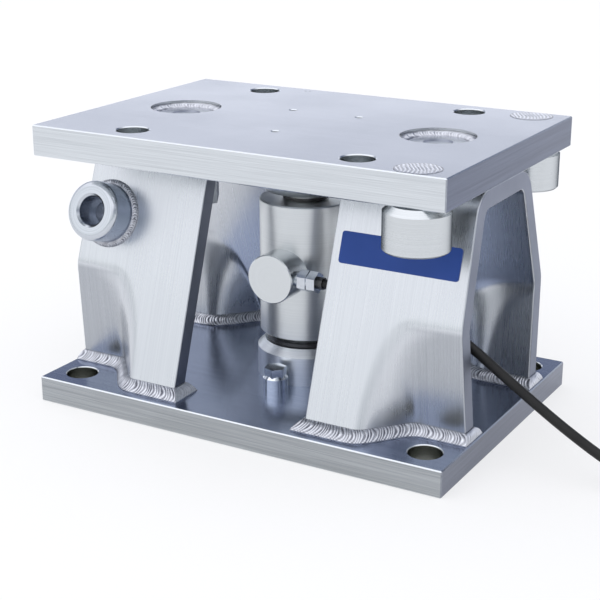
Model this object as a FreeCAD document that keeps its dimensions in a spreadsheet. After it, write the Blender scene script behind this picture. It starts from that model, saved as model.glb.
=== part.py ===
import FreeCAD, Part
import math
import os
import Sketcher

Vector = FreeCAD.Vector
Rotation = FreeCAD.Rotation

doc = FreeCAD.newDocument("weighing_module")

# Driving dimensions, in millimetres
DRIVING = {
    # plates
    "base_length": 298,
    "base_width": 204,
    "base_thick": 17.5,
    "top_length": 290,
    "top_width": 200,
    "top_thick": 20,
    "overall_height": 190.5,
    "plate_edge_break": 0.7,
    "bolt_hole_radius": 10.5,
    "base_bolt_x": 129,
    "base_bolt_y": 82,
    "top_bolt_x": 80,
    "top_bolt_y": 80,
    # bent plate arches
    "arch_thick": 12,
    "arch_inner_x": 49,
    "arch_outer_x": 145,
    "arch_outer_lean": 0.0334,
    "arch_top_z": 168,
    "arch_bend_radius": 20,
    "leg_slope": 0.33,
    "leg_mid_y": 65,
    "leg_mid_z": 90,
    "dent_knee_z": 89.5,
    "dent_floor_slope": 0.1,
    "dent_edge_x": 86,
    "dent_edge_z": 20,
    "dent_edge_run": 36,
    "dent_edge_rise": 74,
    "dent_crease_x": 110,
    "dent_crease_z": 45,
    "dent_crease_curl": 0.0032,
    "dent_wall_least": 1,
    "dent_knee_blend": 1.4,
    "dent_edge_blend": 5,
    "dent_edge_tighten": 0.2,
    "dent_crease_blend": 4,
    "dent_crease_widen": 0.5,
    "dent_blend_change": 5,
    "dent_edge_lift": 0.03,
    # welds
    "foot_weld_leg": 6.5,
    "foot_weld_outer_leg": 3,
    "foot_weld_rim": 0.3,
    "boss_weld_leg": 3,
    # socket bosses on the left arch
    "boss_x": -121.2,
    "boss_z": 124.4,
    "boss_radius": 20,
    "boss_length": 22,
    "boss_round": 4,
    "boss_mouth": 1.5,
    "boss_bore_radius": 10,
    "boss_bore_depth": 16,
    "boss_core_radius": 7.5,
    # hold-down studs
    "stud_x": 94,
    "stud_head_radius": 18.5,
    "stud_sink": 4,
    "stud_radius": 13.5,
    "stud_end_z": 122,
    "stud_dimple_radius": 9.3,
    "stud_dimple_depth": 0.8,
    "stud_weld_radius": 24,
    "stud_weld_depth": 9.5,
    "stud_weld_sink": 1.6,
    "arch_hole_radius": 20,
    "washer_radius": 25,
    "washer_bore_radius": 14,
    "washer_thick": 5,
    "washer_top_z": 153,
    "nut_flats": 41,
    "nut_height": 22,
    # stop posts
    "post_x": 121.5,
    "post_y": 86.5,
    "post_radius": 20,
    "post_length": 27,
    "post_chamfer": 1,
    "post_shoulder": 4,
    "post_spigot_radius": 10,
    "plug_weld_radius": 12.7,
    "plug_weld_depth": 2.7,
    # load cell and its two receivers
    "cell_radius": 30.7,
    "cell_bottom_z": 48.8,
    "cell_top_z": 139.9,
    "cell_edge": 0.8,
    "cell_cap": 11,
    "cell_wall": 3.5,
    "column_low_radius": 18,
    "column_top_radius": 13.6,
    "column_gauge_radius": 11,
    "column_crown": 2,
    "receiver_radius": 32.5,
    "receiver_height": 24.5,
    "receiver_chamfer": 5,
    "receiver_floor": 10,
    "receiver_play": 4,
    "receiver_flange_radius": 46,
    "receiver_flange": 6,
    "lower_seal_radius": 26,
    "lower_seal_height": 3.6,
    "lower_seal_edge": 0.8,
    "upper_seal_radius": 15.2,
    "upper_seal_height": 1.8,
    "screw_radius": 2.5,
    "screw_head_radius": 5,
    "screw_sink": 6,
    "screw_front_y": -39,
    "screw_rear_x": 25,
    "screw_rear_y": 26.5,
    # cable entry
    "entry_radius": 16.3,
    "entry_edge": 0.6,
    "entry_front_y": -47,
    "entry_z": 95,
    "gland_y": -37,
    "gland_neck_radius": 5.2,
    "gland_start_x": 17.8,
    "gland_flats": 12.5,
    "gland_hex": 6,
    "gland_groove": 0.8,
    "gland_groove_radius": 5.8,
    "insert_radius": 4,
    "insert_length": 4,
    # hexagon head pin
    "pin_x": 1.3,
    "pin_y": -42.5,
    "pin_radius": 8.3,
    "pin_collar_z": 28.8,
    "pin_chamfer": 2,
    "pin_flats": 13,
    "pin_hex": 4.9,
    "pin_shank_radius": 5,
    "pin_shank": 12,
    "pin_turn": -17,
    # punch marks near the top plate's rear edge
    "punch_radius": 0.7,
    "punch_depth": 0.5,
    # nameplate
    "name_x": 95,
    "name_z": 127,
    "name_length": 80,
    "name_width": 20,
    "name_thick": 0.8,
    "name_round": 2,
    # cable and its put-away coil
    "cable_diameter": 6.3,
    "coil_x": 308,
    "coil_radius": 41,
    "coil_columns": 5,
    "coil_layers": 4,
    "coil_lift": 1.3,
    "coil_corner": 2.5,
    "tie_width": 5,
    "tie_thick": 1.2,
    "tie_angle": 200,
    "lead_radius": 0.75,
    "lead_length": 30,
    "lead_circle": 2,
    "lead_count": 6,
}

sheet = doc.addObject("Spreadsheet::Sheet", "dims")
for row, (alias, value) in enumerate(DRIVING.items(), start=1):
    sheet.set(f"A{row}", alias)
    sheet.set(f"B{row}", str(value))
    sheet.setAlias(f"B{row}", alias)
doc.recompute()

# Heights that several pieces share
BASE_TOP = "dims.base_thick"
TOP_FACE = "dims.overall_height"
UNDERSIDE = "(dims.overall_height - dims.top_thick)"
STUD_TOP = "(dims.overall_height - dims.stud_sink)"


def number(expression):
    """The value of an expression over the sheet."""
    return float(sheet.evalExpression(expression))


def dim(alias):
    """A driving dimension as a plain number."""
    return float(getattr(sheet, alias))


def place(feature, x="0", y="0", z="0", rotation=Rotation()):
    """Sets a piece's turn and binds its place to the sheet."""
    feature.Placement = FreeCAD.Placement(Vector(), rotation)
    for axis, expression in (("x", x), ("y", y), ("z", z)):
        feature.setExpression(f".Placement.Base.{axis}", expression)
    return feature


def origin_plane(body, role):
    """One of a body's own origin planes."""
    return next(item for item in body.Origin.OriginFeatures if item.Role == role)


def new_sketch(body, name, role):
    """An empty sketch on an origin plane of its body."""
    sketch = body.newObject("Sketcher::SketchObject", name)
    sketch.AttachmentSupport = (origin_plane(body, role), [""])
    sketch.MapMode = "FlatFace"
    return sketch


def pin_point(sketch, geometry, point, x, y):
    """Holds a point of a sketch at bound distances from the sketch's origin."""
    for kind, expression in (("DistanceX", x), ("DistanceY", y)):
        rule = Sketcher.Constraint(kind, -1, 1, geometry, point, number(expression))
        index = sketch.addConstraint(rule)
        sketch.setExpression(f"Constraints[{index}]", expression)


def add_polygon(sketch, corners):
    """Draws a closed polygon whose corners are pairs of expressions."""
    points = [Vector(number(x), number(y), 0) for x, y in corners]
    count = len(points)
    for k in range(count):
        sketch.addGeometry(Part.LineSegment(points[k], points[(k + 1) % count]), False)
    for k in range(count):
        sketch.addConstraint(Sketcher.Constraint("Coincident", k, 2, (k + 1) % count, 1))
    for k, (x, y) in enumerate(corners):
        pin_point(sketch, k, 1, x, y)


def add_circles(sketch, circles):
    """Draws circles given as expressions for x, y and radius."""
    for k, (x, y, radius) in enumerate(circles):
        centre = Vector(number(x), number(y), 0)
        sketch.addGeometry(Part.Circle(centre, Vector(0, 0, 1), number(radius)), False)
        pin_point(sketch, k, 3, x, y)
        index = sketch.addConstraint(Sketcher.Constraint("Radius", k, number(radius)))
        sketch.setExpression(f"Constraints[{index}]", radius)


def turned(label, profile, **where):
    """A turned piece: a closed profile of (radius, height) expressions about its own Z axis."""
    body = doc.addObject("PartDesign::Body", label)
    sketch = new_sketch(body, label + "_profile", "XZ_Plane")
    add_polygon(sketch, profile)
    turn = body.newObject("PartDesign::Revolution", label + "_turn")
    turn.Profile = sketch
    turn.ReferenceAxis = (sketch, ["V_Axis"])
    turn.Angle = 360
    return place(body, **where)


SAME_LENGTH = 1e-4


def circle_edges(shape, radius, height):
    """Names of a shape's circular edges with this radius at this height."""
    names = []
    for k, edge in enumerate(shape.Edges, start=1):
        if not isinstance(edge.Curve, Part.Circle):
            continue
        same_size = abs(edge.Curve.Radius - radius) < SAME_LENGTH
        if same_size and abs(edge.Curve.Center.z - height) < SAME_LENGTH:
            names.append(f"Edge{k}")
    return names


def drilled_plate(label, length, width, thick, holes, broken, z):
    """A flat plate with round through holes; its own edges and those of the holes named are lightly broken."""
    body = doc.addObject("PartDesign::Body", label)
    outline = new_sketch(body, label + "_outline", "XY_Plane")
    half_x = f"{length} / 2"
    half_y = f"{width} / 2"
    signs = (("-", "-"), ("", "-"), ("", ""), ("-", ""))
    add_polygon(outline, [(f"{sx}({half_x})", f"{sy}({half_y})") for sx, sy in signs])
    pad = body.newObject("PartDesign::Pad", label + "_pad")
    pad.Profile = outline
    pad.setExpression("Length", thick)
    drawing = new_sketch(body, label + "_holes", "XY_Plane")
    add_circles(drawing, holes)
    drill = body.newObject("PartDesign::Pocket", label + "_drill")
    drill.Profile = drawing
    drill.Type = "ThroughAll"
    drill.Reversed = True
    doc.recompute()
    if drill.Shape.Volume >= pad.Shape.Volume:
        raise RuntimeError(f"the holes of {label} cut nothing")
    names = []
    for radius in broken:
        names += circle_edges(drill.Shape, dim(radius), 0)
        names += circle_edges(drill.Shape, dim(radius), number(thick))
    for k, edge in enumerate(drill.Shape.Edges, start=1):
        if isinstance(edge.Curve, Part.Line):
            names.append(f"Edge{k}")
    edge_break = body.newObject("PartDesign::Chamfer", label + "_edge_break")
    edge_break.Base = (drill, names)
    edge_break.setExpression("Size", "dims.plate_edge_break")
    return place(body, z=z)


def cylinder(name, radius, height, **where):
    """A plain cylinder bound to the sheet."""
    feature = doc.addObject("Part::Cylinder", name)
    feature.setExpression("Radius", radius)
    feature.setExpression("Height", height)
    return place(feature, **where)


def cone(name, low_radius, high_radius, height, **where):
    """A plain cone frustum bound to the sheet."""
    feature = doc.addObject("Part::Cone", name)
    feature.setExpression("Radius1", low_radius)
    feature.setExpression("Radius2", high_radius)
    feature.setExpression("Height", height)
    return place(feature, **where)


def hexagon(name, flats, height, **where):
    """A hexagonal prism given by its width across flats."""
    feature = doc.addObject("Part::Prism", name)
    feature.Polygon = 6
    feature.setExpression("Circumradius", f"{flats} / (2 * cos(30deg))")
    feature.setExpression("Height", height)
    return place(feature, **where)


def cut(label, base, *tools):
    """One piece less others; the last cut carries the label."""
    for k, tool in enumerate(tools, start=1):
        feature = doc.addObject("Part::Cut", f"{label}_cut_{k}")
        feature.Base = base
        feature.Tool = tool
        base = feature
    base.Label = label
    return base


def fuse(label, *shapes):
    """Several solids made into one."""
    feature = doc.addObject("Part::MultiFuse", label)
    feature.Shapes = list(shapes)
    feature.Refine = True
    return feature


def solid(label, shape):
    """A piece whose shape is worked out here."""
    feature = doc.addObject("Part::Feature", label)
    feature.Shape = shape
    return feature


SIDES = {"left": -1, "right": 1}
ENDS = {"front": -1, "rear": 1}
nodes = []

# Base plate: cut from thick plate, with a bolt hole in each corner and a blind hole for the pin
base_holes = []
for sign_x in ("-", ""):
    for sign_y in ("-", ""):
        base_holes.append((f"{sign_x}dims.base_bolt_x", f"{sign_y}dims.base_bolt_y", "dims.bolt_hole_radius"))
base_blank = drilled_plate(
    "base_blank", "dims.base_length", "dims.base_width", "dims.base_thick", base_holes,
    ["bolt_hole_radius"], "0")
PIN_PLACE = {"x": "dims.pin_x", "y": "dims.pin_y"}
pin_hole = cylinder(
    "pin_hole", "dims.pin_shank_radius", "dims.pin_shank", z=f"{BASE_TOP} - dims.pin_shank", **PIN_PLACE)
nodes.append(cut("base_plate", base_blank, pin_hole))


# Arches: a constant-thickness strip bent to an inverted U, its legs splayed at one angle.
# Each leg's outer lower corner is pressed inward, which leaves a sloping floor and a wall.
def soft_min(first, second, blend):
    """The lesser of two values, rounded where they cross."""
    closeness = max(blend - abs(first - second), 0) / blend
    return min(first, second) - closeness ** 2 * blend / 4


def soft_max(first, second, blend):
    """The greater of two values, rounded where they cross."""
    return -soft_min(-first, -second, blend)


def leg_face(z, depth=0.0):
    """Distance of a leg's flat face from the middle plane, at a depth under its outer skin."""
    slope = dim("leg_slope")
    return dim("leg_mid_y") + slope * (dim("leg_mid_z") - z) - depth * math.hypot(1, slope)


def dent_edge(z):
    """Where the pressed corner's rounded edge stands at a height: upright at the foot, level at the knee."""
    share = min(max((z - dim("dent_edge_z")) / dim("dent_edge_rise"), 0), 1)
    return dim("dent_edge_x") + dim("dent_edge_run") * (1 - math.sqrt(1 - share ** 2))


def dent_crease(z):
    """Where the pressed corner's wall meets its floor at a height: upright, curling outward above."""
    return dim("dent_crease_x") + dim("dent_crease_curl") * max(z - dim("dent_crease_z"), 0) ** 2


def leg_reach(x, z, depth=0.0):
    """Distance of a leg from the middle plane, with the pressed corner.

    The corner has a floor below a level knee and a wall that rises from its crease to its edge.
    A bend's inside is tighter than its outside by the plate's thickness. Past the edge the leg stays flat.
    """
    knee_z = dim("dent_knee_z")
    floor_slope = dim("dent_floor_slope")
    floor_skin = leg_face(knee_z) - floor_slope * (knee_z - z)
    edge_x = dent_edge(z)
    crease_x = dent_crease(z)
    wall_slope = max(leg_face(z) - floor_skin, 0) / max(crease_x - edge_x, dim("dent_wall_least"))
    floor = floor_skin - depth * math.hypot(1, floor_slope)
    wall = floor_skin + wall_slope * (crease_x - x) - depth * math.hypot(1, wall_slope)
    crease_blend = dim("dent_crease_blend") + dim("dent_crease_widen") * depth
    edge_blend = dim("dent_edge_blend") - dim("dent_edge_tighten") * depth
    wall_share = soft_min(soft_max(0.5 + (wall - floor) / (2 * dim("dent_blend_change")), 0, 1), 1, 1)
    blend = dim("dent_knee_blend") + (edge_blend - dim("dent_knee_blend")) * wall_share
    past_edge = dim("dent_edge_lift") * max(edge_x - x, 0) ** 2
    return soft_min(leg_face(z, depth), soft_max(floor, wall, crease_blend) + past_edge, blend)


LEAN = math.atan(dim("leg_slope"))
LEG_LEVELS = 17
ARCH_STATIONS = 20
STRAIGHT_ABOVE = 12.5
LOFT_OVERRUN = 1.0


def side_edges(x, depth, sign):
    """One leg's line in a section, from its foot to the flat top, and the point where it ends."""
    foot_z = dim("base_thick")
    straight_z = dim("dent_knee_z") + STRAIGHT_ABOVE
    top_z = dim("arch_top_z") - depth
    radius = dim("arch_bend_radius") - depth
    heights = [foot_z + (straight_z - foot_z) * k / (LEG_LEVELS - 1) for k in range(LEG_LEVELS)]
    pressed = Part.BSplineCurve()
    pressed.interpolate([Vector(x, sign * leg_reach(x, z, depth), z) for z in heights])
    centre_y = leg_face(top_z, depth) - radius * math.tan((math.pi / 2 - LEAN) / 2)
    centre_z = top_z - radius

    def on_bend(angle):
        return Vector(x, sign * (centre_y + radius * math.cos(angle)), centre_z + radius * math.sin(angle))

    bend_start = on_bend(LEAN)
    bend_end = on_bend(math.pi / 2)
    straight = Part.LineSegment(pressed.EndPoint, bend_start)
    bend = Part.Arc(bend_start, on_bend((LEAN + math.pi / 2) / 2), bend_end)
    return [pressed.toShape(), straight.toShape(), bend.toShape()], bend_end, pressed.StartPoint


def arch_section(x):
    """The closed section of an arch across the module at distance x."""
    edges = []
    feet = {}
    for depth in (0.0, dim("arch_thick")):
        tops = {}
        for sign in ENDS.values():
            leg_edges, tops[sign], feet[depth, sign] = side_edges(x, depth, sign)
            edges += leg_edges
        edges.append(Part.LineSegment(tops[-1], tops[1]).toShape())
    for sign in ENDS.values():
        edges.append(Part.LineSegment(feet[0.0, sign], feet[dim("arch_thick"), sign]).toShape())
    return Part.Wire(Part.__sortEdges__(edges))


def arch_outer_x(z):
    """Where an arch's outer end stands at a height: it leans in a little towards the top."""
    return dim("arch_outer_x") - dim("arch_outer_lean") * (z - dim("base_thick"))


def past_outer_end():
    """All that lies beyond the right arch's leaning outer end."""
    room = Part.makeBox(dim("base_width"), 2 * dim("base_width"), dim("overall_height"))
    lean_turn = Rotation(Vector(0, 1, 0), -math.degrees(math.atan(dim("arch_outer_lean"))))
    room.Placement = FreeCAD.Placement(Vector(arch_outer_x(0), -dim("base_width"), 0), lean_turn)
    return room


def right_arch_shape():
    """The right arch: a loft of sections, its outer end cut at a lean, its top drilled for the stud."""
    start = dim("arch_inner_x")
    end = arch_outer_x(0) + LOFT_OVERRUN
    places = [start + (end - start) * k / (ARCH_STATIONS - 1) for k in range(ARCH_STATIONS)]
    strip = Part.makeLoft([arch_section(x) for x in places], True, False)
    stud_hole = Part.makeCylinder(
        dim("arch_hole_radius"), 2 * dim("arch_thick"),
        Vector(dim("stud_x"), 0, dim("arch_top_z") - 1.5 * dim("arch_thick")))
    return strip.cut(past_outer_end()).cut(stud_hole)


MIDDLE_PLANES = {"x": Vector(1, 0, 0), "y": Vector(0, 1, 0)}


def mirrored(shape, sign_x, sign_y):
    """A right front shape carried to one of the four corners."""
    if sign_x < 0:
        shape = shape.mirror(Vector(), MIDDLE_PLANES["x"])
    if sign_y > 0:
        shape = shape.mirror(Vector(), MIDDLE_PLANES["y"])
    return shape


right_arch = right_arch_shape()
for side, sign in SIDES.items():
    nodes.append(solid(side + "_arch", mirrored(right_arch, sign, -1)))


# Foot welds: a fillet bead all round each foot, thin at the outer end where the base plate ends
CORNER = math.sqrt(0.5)
SLOPE_STEP = 0.5


def outward(x, z, depth, towards):
    """Unit direction out of a leg's face in plan, as (along, across)."""
    rise = (leg_reach(x + SLOPE_STEP, z, depth) - leg_reach(x - SLOPE_STEP, z, depth)) / (2 * SLOPE_STEP)
    length = math.hypot(1, rise)
    return -towards * rise / length, towards / length


def foot_outline(z, side_grow, inner_grow, outer_grow):
    """A leg's outline in plan at a height, grown outward by a bead's width, for the right front leg."""
    first = dim("arch_inner_x")
    last = arch_outer_x(z)
    thick = dim("arch_thick")
    places = [first + (last - first) * k / (ARCH_STATIONS - 1) for k in range(ARCH_STATIONS)]

    def face(x, depth, towards):
        along, across = outward(x, z, depth, towards)
        return x + side_grow * along, leg_reach(x, z, depth) + side_grow * across

    def end_corner(x, end_grow):
        near = leg_reach(x, z)
        far = leg_reach(x, z, thick)
        return [
            (x + CORNER * end_grow, near + CORNER * side_grow),
            (x + end_grow, near),
            (x + end_grow, far),
            (x + CORNER * end_grow, far - CORNER * side_grow),
        ]

    outline = [face(x, 0.0, 1) for x in places]
    outline += end_corner(last, outer_grow)
    outline += [face(x, thick, -1) for x in reversed(places)]
    outline += reversed(end_corner(first, -inner_grow))
    points = [Vector(x, -y, z) for x, y in outline]
    return Part.makePolygon(points + points[:1])


def foot_weld_shape():
    """The bead round the right front foot."""
    leg = dim("foot_weld_leg")
    rim = dim("foot_weld_rim")
    foot_z = dim("base_thick")
    toe = foot_outline(foot_z, leg, leg, dim("foot_weld_outer_leg"))
    crest = foot_outline(foot_z + leg, rim, rim, rim)
    return Part.makeLoft([toe, crest], True, True).cut(right_arch)


foot_weld = foot_weld_shape()
for side, sign_x in SIDES.items():
    for end, sign_y in ENDS.items():
        nodes.append(solid(f"{side}_{end}_foot_weld", mirrored(foot_weld, sign_x, sign_y)))


# Socket bosses: turned, with a rounded nose and a stepped bore, welded square to the leg.
# The ring weld ends where the leg does.
past_left_end = solid("past_left_end", mirrored(past_outer_end(), -1, -1))


def leg_turn(sign):
    """Turns a piece's own Z axis square to the front or rear leg."""
    return Rotation(Vector(1, 0, 0), -sign * (90 - math.degrees(LEAN)))


def leg_place(sign, x, z):
    """Bindings for a place on the outer face of the front or rear legs."""
    reach = f"(dims.leg_mid_y + dims.leg_slope * (dims.leg_mid_z - {z}))"
    return {"x": x, "y": f"{sign} * {reach}", "z": z, "rotation": leg_turn(sign)}


def socket_boss(end, sign):
    """A boss on the left arch's front or rear leg."""
    where = leg_place(sign, "dims.boss_x", "dims.boss_z")
    boss = turned(end + "_socket_boss", [
        ("dims.boss_core_radius", "0"),
        ("dims.boss_radius", "0"),
        ("dims.boss_radius", "dims.boss_length"),
        ("dims.boss_bore_radius + dims.boss_mouth", "dims.boss_length"),
        ("dims.boss_bore_radius", "dims.boss_length - dims.boss_mouth"),
        ("dims.boss_bore_radius", "dims.boss_length - dims.boss_bore_depth"),
        ("dims.boss_core_radius", "dims.boss_length - dims.boss_bore_depth"),
    ], **where)
    doc.recompute()
    nose = boss.newObject("PartDesign::Fillet", end + "_boss_nose")
    nose.Base = (boss.Group[1], circle_edges(boss.Group[1].Shape, dim("boss_radius"), dim("boss_length")))
    nose.setExpression("Radius", "dims.boss_round")
    ring = turned(end + "_boss_ring", [
        ("dims.boss_radius", "0"),
        ("dims.boss_radius + dims.boss_weld_leg", "0"),
        ("dims.boss_radius", "dims.boss_weld_leg"),
    ], **where)
    return [boss, cut(end + "_boss_weld", ring, past_left_end)]


for end, sign in ENDS.items():
    nodes += socket_boss(end, sign)

# Hexagon head pin: turned from hexagon bar, its shank pressed into the base plate
pin_pieces = [
    cylinder("pin_shank", "dims.pin_shank_radius", "dims.pin_shank",
             z=f"{BASE_TOP} - dims.pin_shank", **PIN_PLACE),
    cylinder("pin_body", "dims.pin_radius", f"dims.pin_collar_z - {BASE_TOP} - dims.pin_chamfer",
             z=BASE_TOP, **PIN_PLACE),
    cone("pin_collar", "dims.pin_radius", "dims.pin_radius - dims.pin_chamfer", "dims.pin_chamfer",
         z="dims.pin_collar_z - dims.pin_chamfer", **PIN_PLACE),
    hexagon("pin_head", "dims.pin_flats", "dims.pin_hex + dims.pin_chamfer",
            z="dims.pin_collar_z - dims.pin_chamfer",
            rotation=Rotation(Vector(0, 0, 1), dim("pin_turn")), **PIN_PLACE),
]
nodes.append(fuse("hex_head_pin", *pin_pieces))

# Nameplate: a thin printed plate with rounded corners on the right arch's front leg
name_body = doc.addObject("PartDesign::Body", "nameplate")
name_outline = new_sketch(name_body, "nameplate_outline", "XY_Plane")
name_corners = [(f"{sx}dims.name_length / 2", f"{sy}dims.name_width / 2")
                for sx, sy in (("-", "-"), ("", "-"), ("", ""), ("-", ""))]
add_polygon(name_outline, name_corners)
name_pad = name_body.newObject("PartDesign::Pad", "nameplate_pad")
name_pad.Profile = name_outline
name_pad.setExpression("Length", "dims.name_thick")
doc.recompute()
upright = [f"Edge{k}" for k, edge in enumerate(name_pad.Shape.Edges, start=1)
           if abs(edge.Vertexes[0].Z - edge.Vertexes[-1].Z) > dim("name_thick") / 2]
name_round = name_body.newObject("PartDesign::Fillet", "nameplate_round")
name_round.Base = (name_pad, upright)
name_round.setExpression("Radius", "dims.name_round")
nodes.append(place(name_body, **leg_place(-1, "dims.name_x", "dims.name_z")))

# Lower receiver: a chamfered cup standing on the base plate, with a seal ring on its rim
CUP_RIM = "dims.receiver_radius - dims.receiver_chamfer"
nodes.append(turned("lower_receiver", [
    ("0", "0"),
    ("dims.receiver_radius", "0"),
    ("dims.receiver_radius", "dims.receiver_height - dims.receiver_chamfer"),
    (CUP_RIM, "dims.receiver_height"),
    ("dims.column_low_radius + dims.receiver_play", "dims.receiver_height"),
    ("dims.column_low_radius + dims.receiver_play", "dims.receiver_floor"),
    ("0", "dims.receiver_floor"),
], z=BASE_TOP))
nodes.append(turned("lower_seal", [
    ("dims.column_low_radius", "0"),
    ("dims.lower_seal_radius - dims.lower_seal_edge", "0"),
    ("dims.lower_seal_radius", "dims.lower_seal_edge"),
    ("dims.lower_seal_radius", "dims.lower_seal_height - dims.lower_seal_edge"),
    ("dims.lower_seal_radius - dims.lower_seal_edge", "dims.lower_seal_height"),
    ("dims.column_low_radius", "dims.lower_seal_height"),
], z=f"{BASE_TOP} + dims.receiver_height"))

# Load cell: a welded stainless can round a turned column whose two ends stand out of it
COLUMN_FOOT = f"({BASE_TOP} + dims.receiver_floor)"
COLUMN_HEAD = f"({UNDERSIDE} - dims.receiver_floor)"
LOW_CAP = "(dims.cell_bottom_z + dims.cell_cap)"
HIGH_CAP = "(dims.cell_top_z - dims.cell_cap)"
CAN_BORE = "dims.cell_radius - dims.cell_wall"
nodes.append(turned("load_cell_housing", [
    ("dims.column_low_radius", "dims.cell_bottom_z"),
    ("dims.cell_radius - dims.cell_edge", "dims.cell_bottom_z"),
    ("dims.cell_radius", "dims.cell_bottom_z + dims.cell_edge"),
    ("dims.cell_radius", "dims.cell_top_z - dims.cell_edge"),
    ("dims.cell_radius - dims.cell_edge", "dims.cell_top_z"),
    ("dims.column_top_radius", "dims.cell_top_z"),
    ("dims.column_top_radius", HIGH_CAP),
    (CAN_BORE, HIGH_CAP),
    (CAN_BORE, LOW_CAP),
    ("dims.column_low_radius", LOW_CAP),
]))
nodes.append(turned("load_cell_column", [
    ("0", COLUMN_FOOT),
    ("dims.column_low_radius - dims.column_crown", COLUMN_FOOT),
    ("dims.column_low_radius", f"{COLUMN_FOOT} + dims.column_crown"),
    ("dims.column_low_radius", LOW_CAP),
    ("dims.column_gauge_radius", LOW_CAP),
    ("dims.column_gauge_radius", HIGH_CAP),
    ("dims.column_top_radius", HIGH_CAP),
    ("dims.column_top_radius", f"{COLUMN_HEAD} - dims.column_crown"),
    ("dims.column_top_radius - dims.column_crown", COLUMN_HEAD),
    ("0", COLUMN_HEAD),
]))
nodes.append(turned("upper_seal", [
    ("dims.column_top_radius", "0"),
    ("dims.upper_seal_radius", "0"),
    ("dims.upper_seal_radius", "dims.upper_seal_height"),
    ("dims.column_top_radius", "dims.upper_seal_height"),
], z="dims.cell_top_z"))

# Cable entry: a round block saddled to the can, and a gland of two hexagons on its right side
TO_FRONT = Rotation(Vector(1, 0, 0), 90)
TO_RIGHT = Rotation(Vector(0, 1, 0), 90)
entry_bar = turned("entry_bar", [
    ("0", "0"),
    ("dims.entry_radius", "0"),
    ("dims.entry_radius", "-dims.entry_front_y - dims.entry_edge"),
    ("dims.entry_radius - dims.entry_edge", "-dims.entry_front_y"),
    ("0", "-dims.entry_front_y"),
], z="dims.entry_z", rotation=TO_FRONT)
can_bar = cylinder(
    "can_bar", "dims.cell_radius", "dims.cell_top_z - dims.cell_bottom_z", z="dims.cell_bottom_z")
entry_block = cut("cable_entry_block", entry_bar, can_bar)
nodes.append(entry_block)


def on_gland(offset):
    """Bindings for a place on the gland's axis, beyond its first hexagon's start."""
    x = f"dims.gland_start_x + {offset}"
    return {"x": x, "y": "dims.gland_y", "z": "dims.entry_z", "rotation": TO_RIGHT}


GLAND_HEXES = "2 * dims.gland_hex + dims.gland_groove"
gland_bar = fuse(
    "gland_bar",
    cylinder("gland_neck", "dims.gland_neck_radius", "dims.gland_start_x", **on_gland("-dims.gland_start_x")),
    hexagon("gland_body_hex", "dims.gland_flats", "dims.gland_hex", **on_gland("0")),
    cylinder("gland_groove", "dims.gland_groove_radius", "dims.gland_groove", **on_gland("dims.gland_hex")),
    hexagon("gland_nut_hex", "dims.gland_flats", "dims.gland_hex",
            **on_gland("dims.gland_hex + dims.gland_groove")),
)
nodes.append(cut("cable_gland", gland_bar, entry_bar))
nodes.append(turned("gland_insert", [
    ("dims.cable_diameter / 2", "0"),
    ("dims.insert_radius", "0"),
    ("dims.insert_radius", "dims.insert_length"),
    ("dims.cable_diameter / 2", "dims.insert_length"),
], **on_gland(GLAND_HEXES)))

# Upper receiver: a flanged cup under the top plate, held by three countersunk screws from below.
# The screws' tapped holes go right through the plate.
receiver_blank = turned("upper_receiver_blank", [
    ("0", "0"),
    ("dims.receiver_flange_radius", "0"),
    ("dims.receiver_flange_radius", "-dims.receiver_flange"),
    ("dims.receiver_radius", "-dims.receiver_flange"),
    ("dims.receiver_radius", "dims.receiver_chamfer - dims.receiver_height"),
    (CUP_RIM, "-dims.receiver_height"),
    ("dims.column_top_radius + dims.receiver_play", "-dims.receiver_height"),
    ("dims.column_top_radius + dims.receiver_play", "-dims.receiver_floor"),
    ("0", "-dims.receiver_floor"),
], z=UNDERSIDE)
SCREW_PLACES = [
    ("0", "dims.screw_front_y"),
    ("-dims.screw_rear_x", "dims.screw_rear_y"),
    ("dims.screw_rear_x", "dims.screw_rear_y"),
]
SCREW_END = "dims.top_thick - dims.screw_sink"
screw_bodies = [
    turned(f"receiver_screw_{k}", [
        ("0", "-dims.receiver_flange"),
        ("dims.screw_head_radius", "-dims.receiver_flange"),
        ("dims.screw_radius", "dims.screw_head_radius - dims.screw_radius - dims.receiver_flange"),
        ("dims.screw_radius", SCREW_END),
        ("0", SCREW_END),
    ], x=x, y=y, z=UNDERSIDE)
    for k, (x, y) in enumerate(SCREW_PLACES)]
nodes.append(cut("upper_receiver", receiver_blank, *screw_bodies))
screws = doc.addObject("Part::Compound", "receiver_screws")
screws.Links = screw_bodies
nodes.append(screws)

# Top plate: bolt holes, screw holes, stud and post holes with conical weld preparations, and two punch marks
top_holes = []
for sign_x in ("-", ""):
    for sign_y in ("-", ""):
        top_holes.append((f"{sign_x}dims.top_bolt_x", f"{sign_y}dims.top_bolt_y", "dims.bolt_hole_radius"))
    top_holes.append((f"{sign_x}dims.stud_x", "0", "dims.stud_head_radius"))
for sign_y in ("-", ""):
    top_holes.append(("dims.post_x", f"{sign_y}dims.post_y", "dims.post_spigot_radius"))
top_holes += [(x, y, "dims.screw_radius") for x, y in SCREW_PLACES]
top_blank = drilled_plate(
    "top_blank", "dims.top_length", "dims.top_width", "dims.top_thick", top_holes,
    ["bolt_hole_radius", "screw_radius"], UNDERSIDE)
WELD_EDGE = f"({TOP_FACE} - dims.stud_weld_sink)"
weld_preps = []
for side, sign in SIDES.items():
    x = f"{sign} * dims.stud_x"
    weld_preps.append(cone(
        f"{side}_weld_prep", "dims.stud_head_radius", "dims.stud_weld_radius",
        "dims.stud_weld_depth - dims.stud_weld_sink", x=x, z=f"{TOP_FACE} - dims.stud_weld_depth"))
    weld_preps.append(cylinder(
        f"{side}_weld_step", "dims.stud_weld_radius", "dims.stud_weld_sink", x=x, z=WELD_EDGE))
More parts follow.
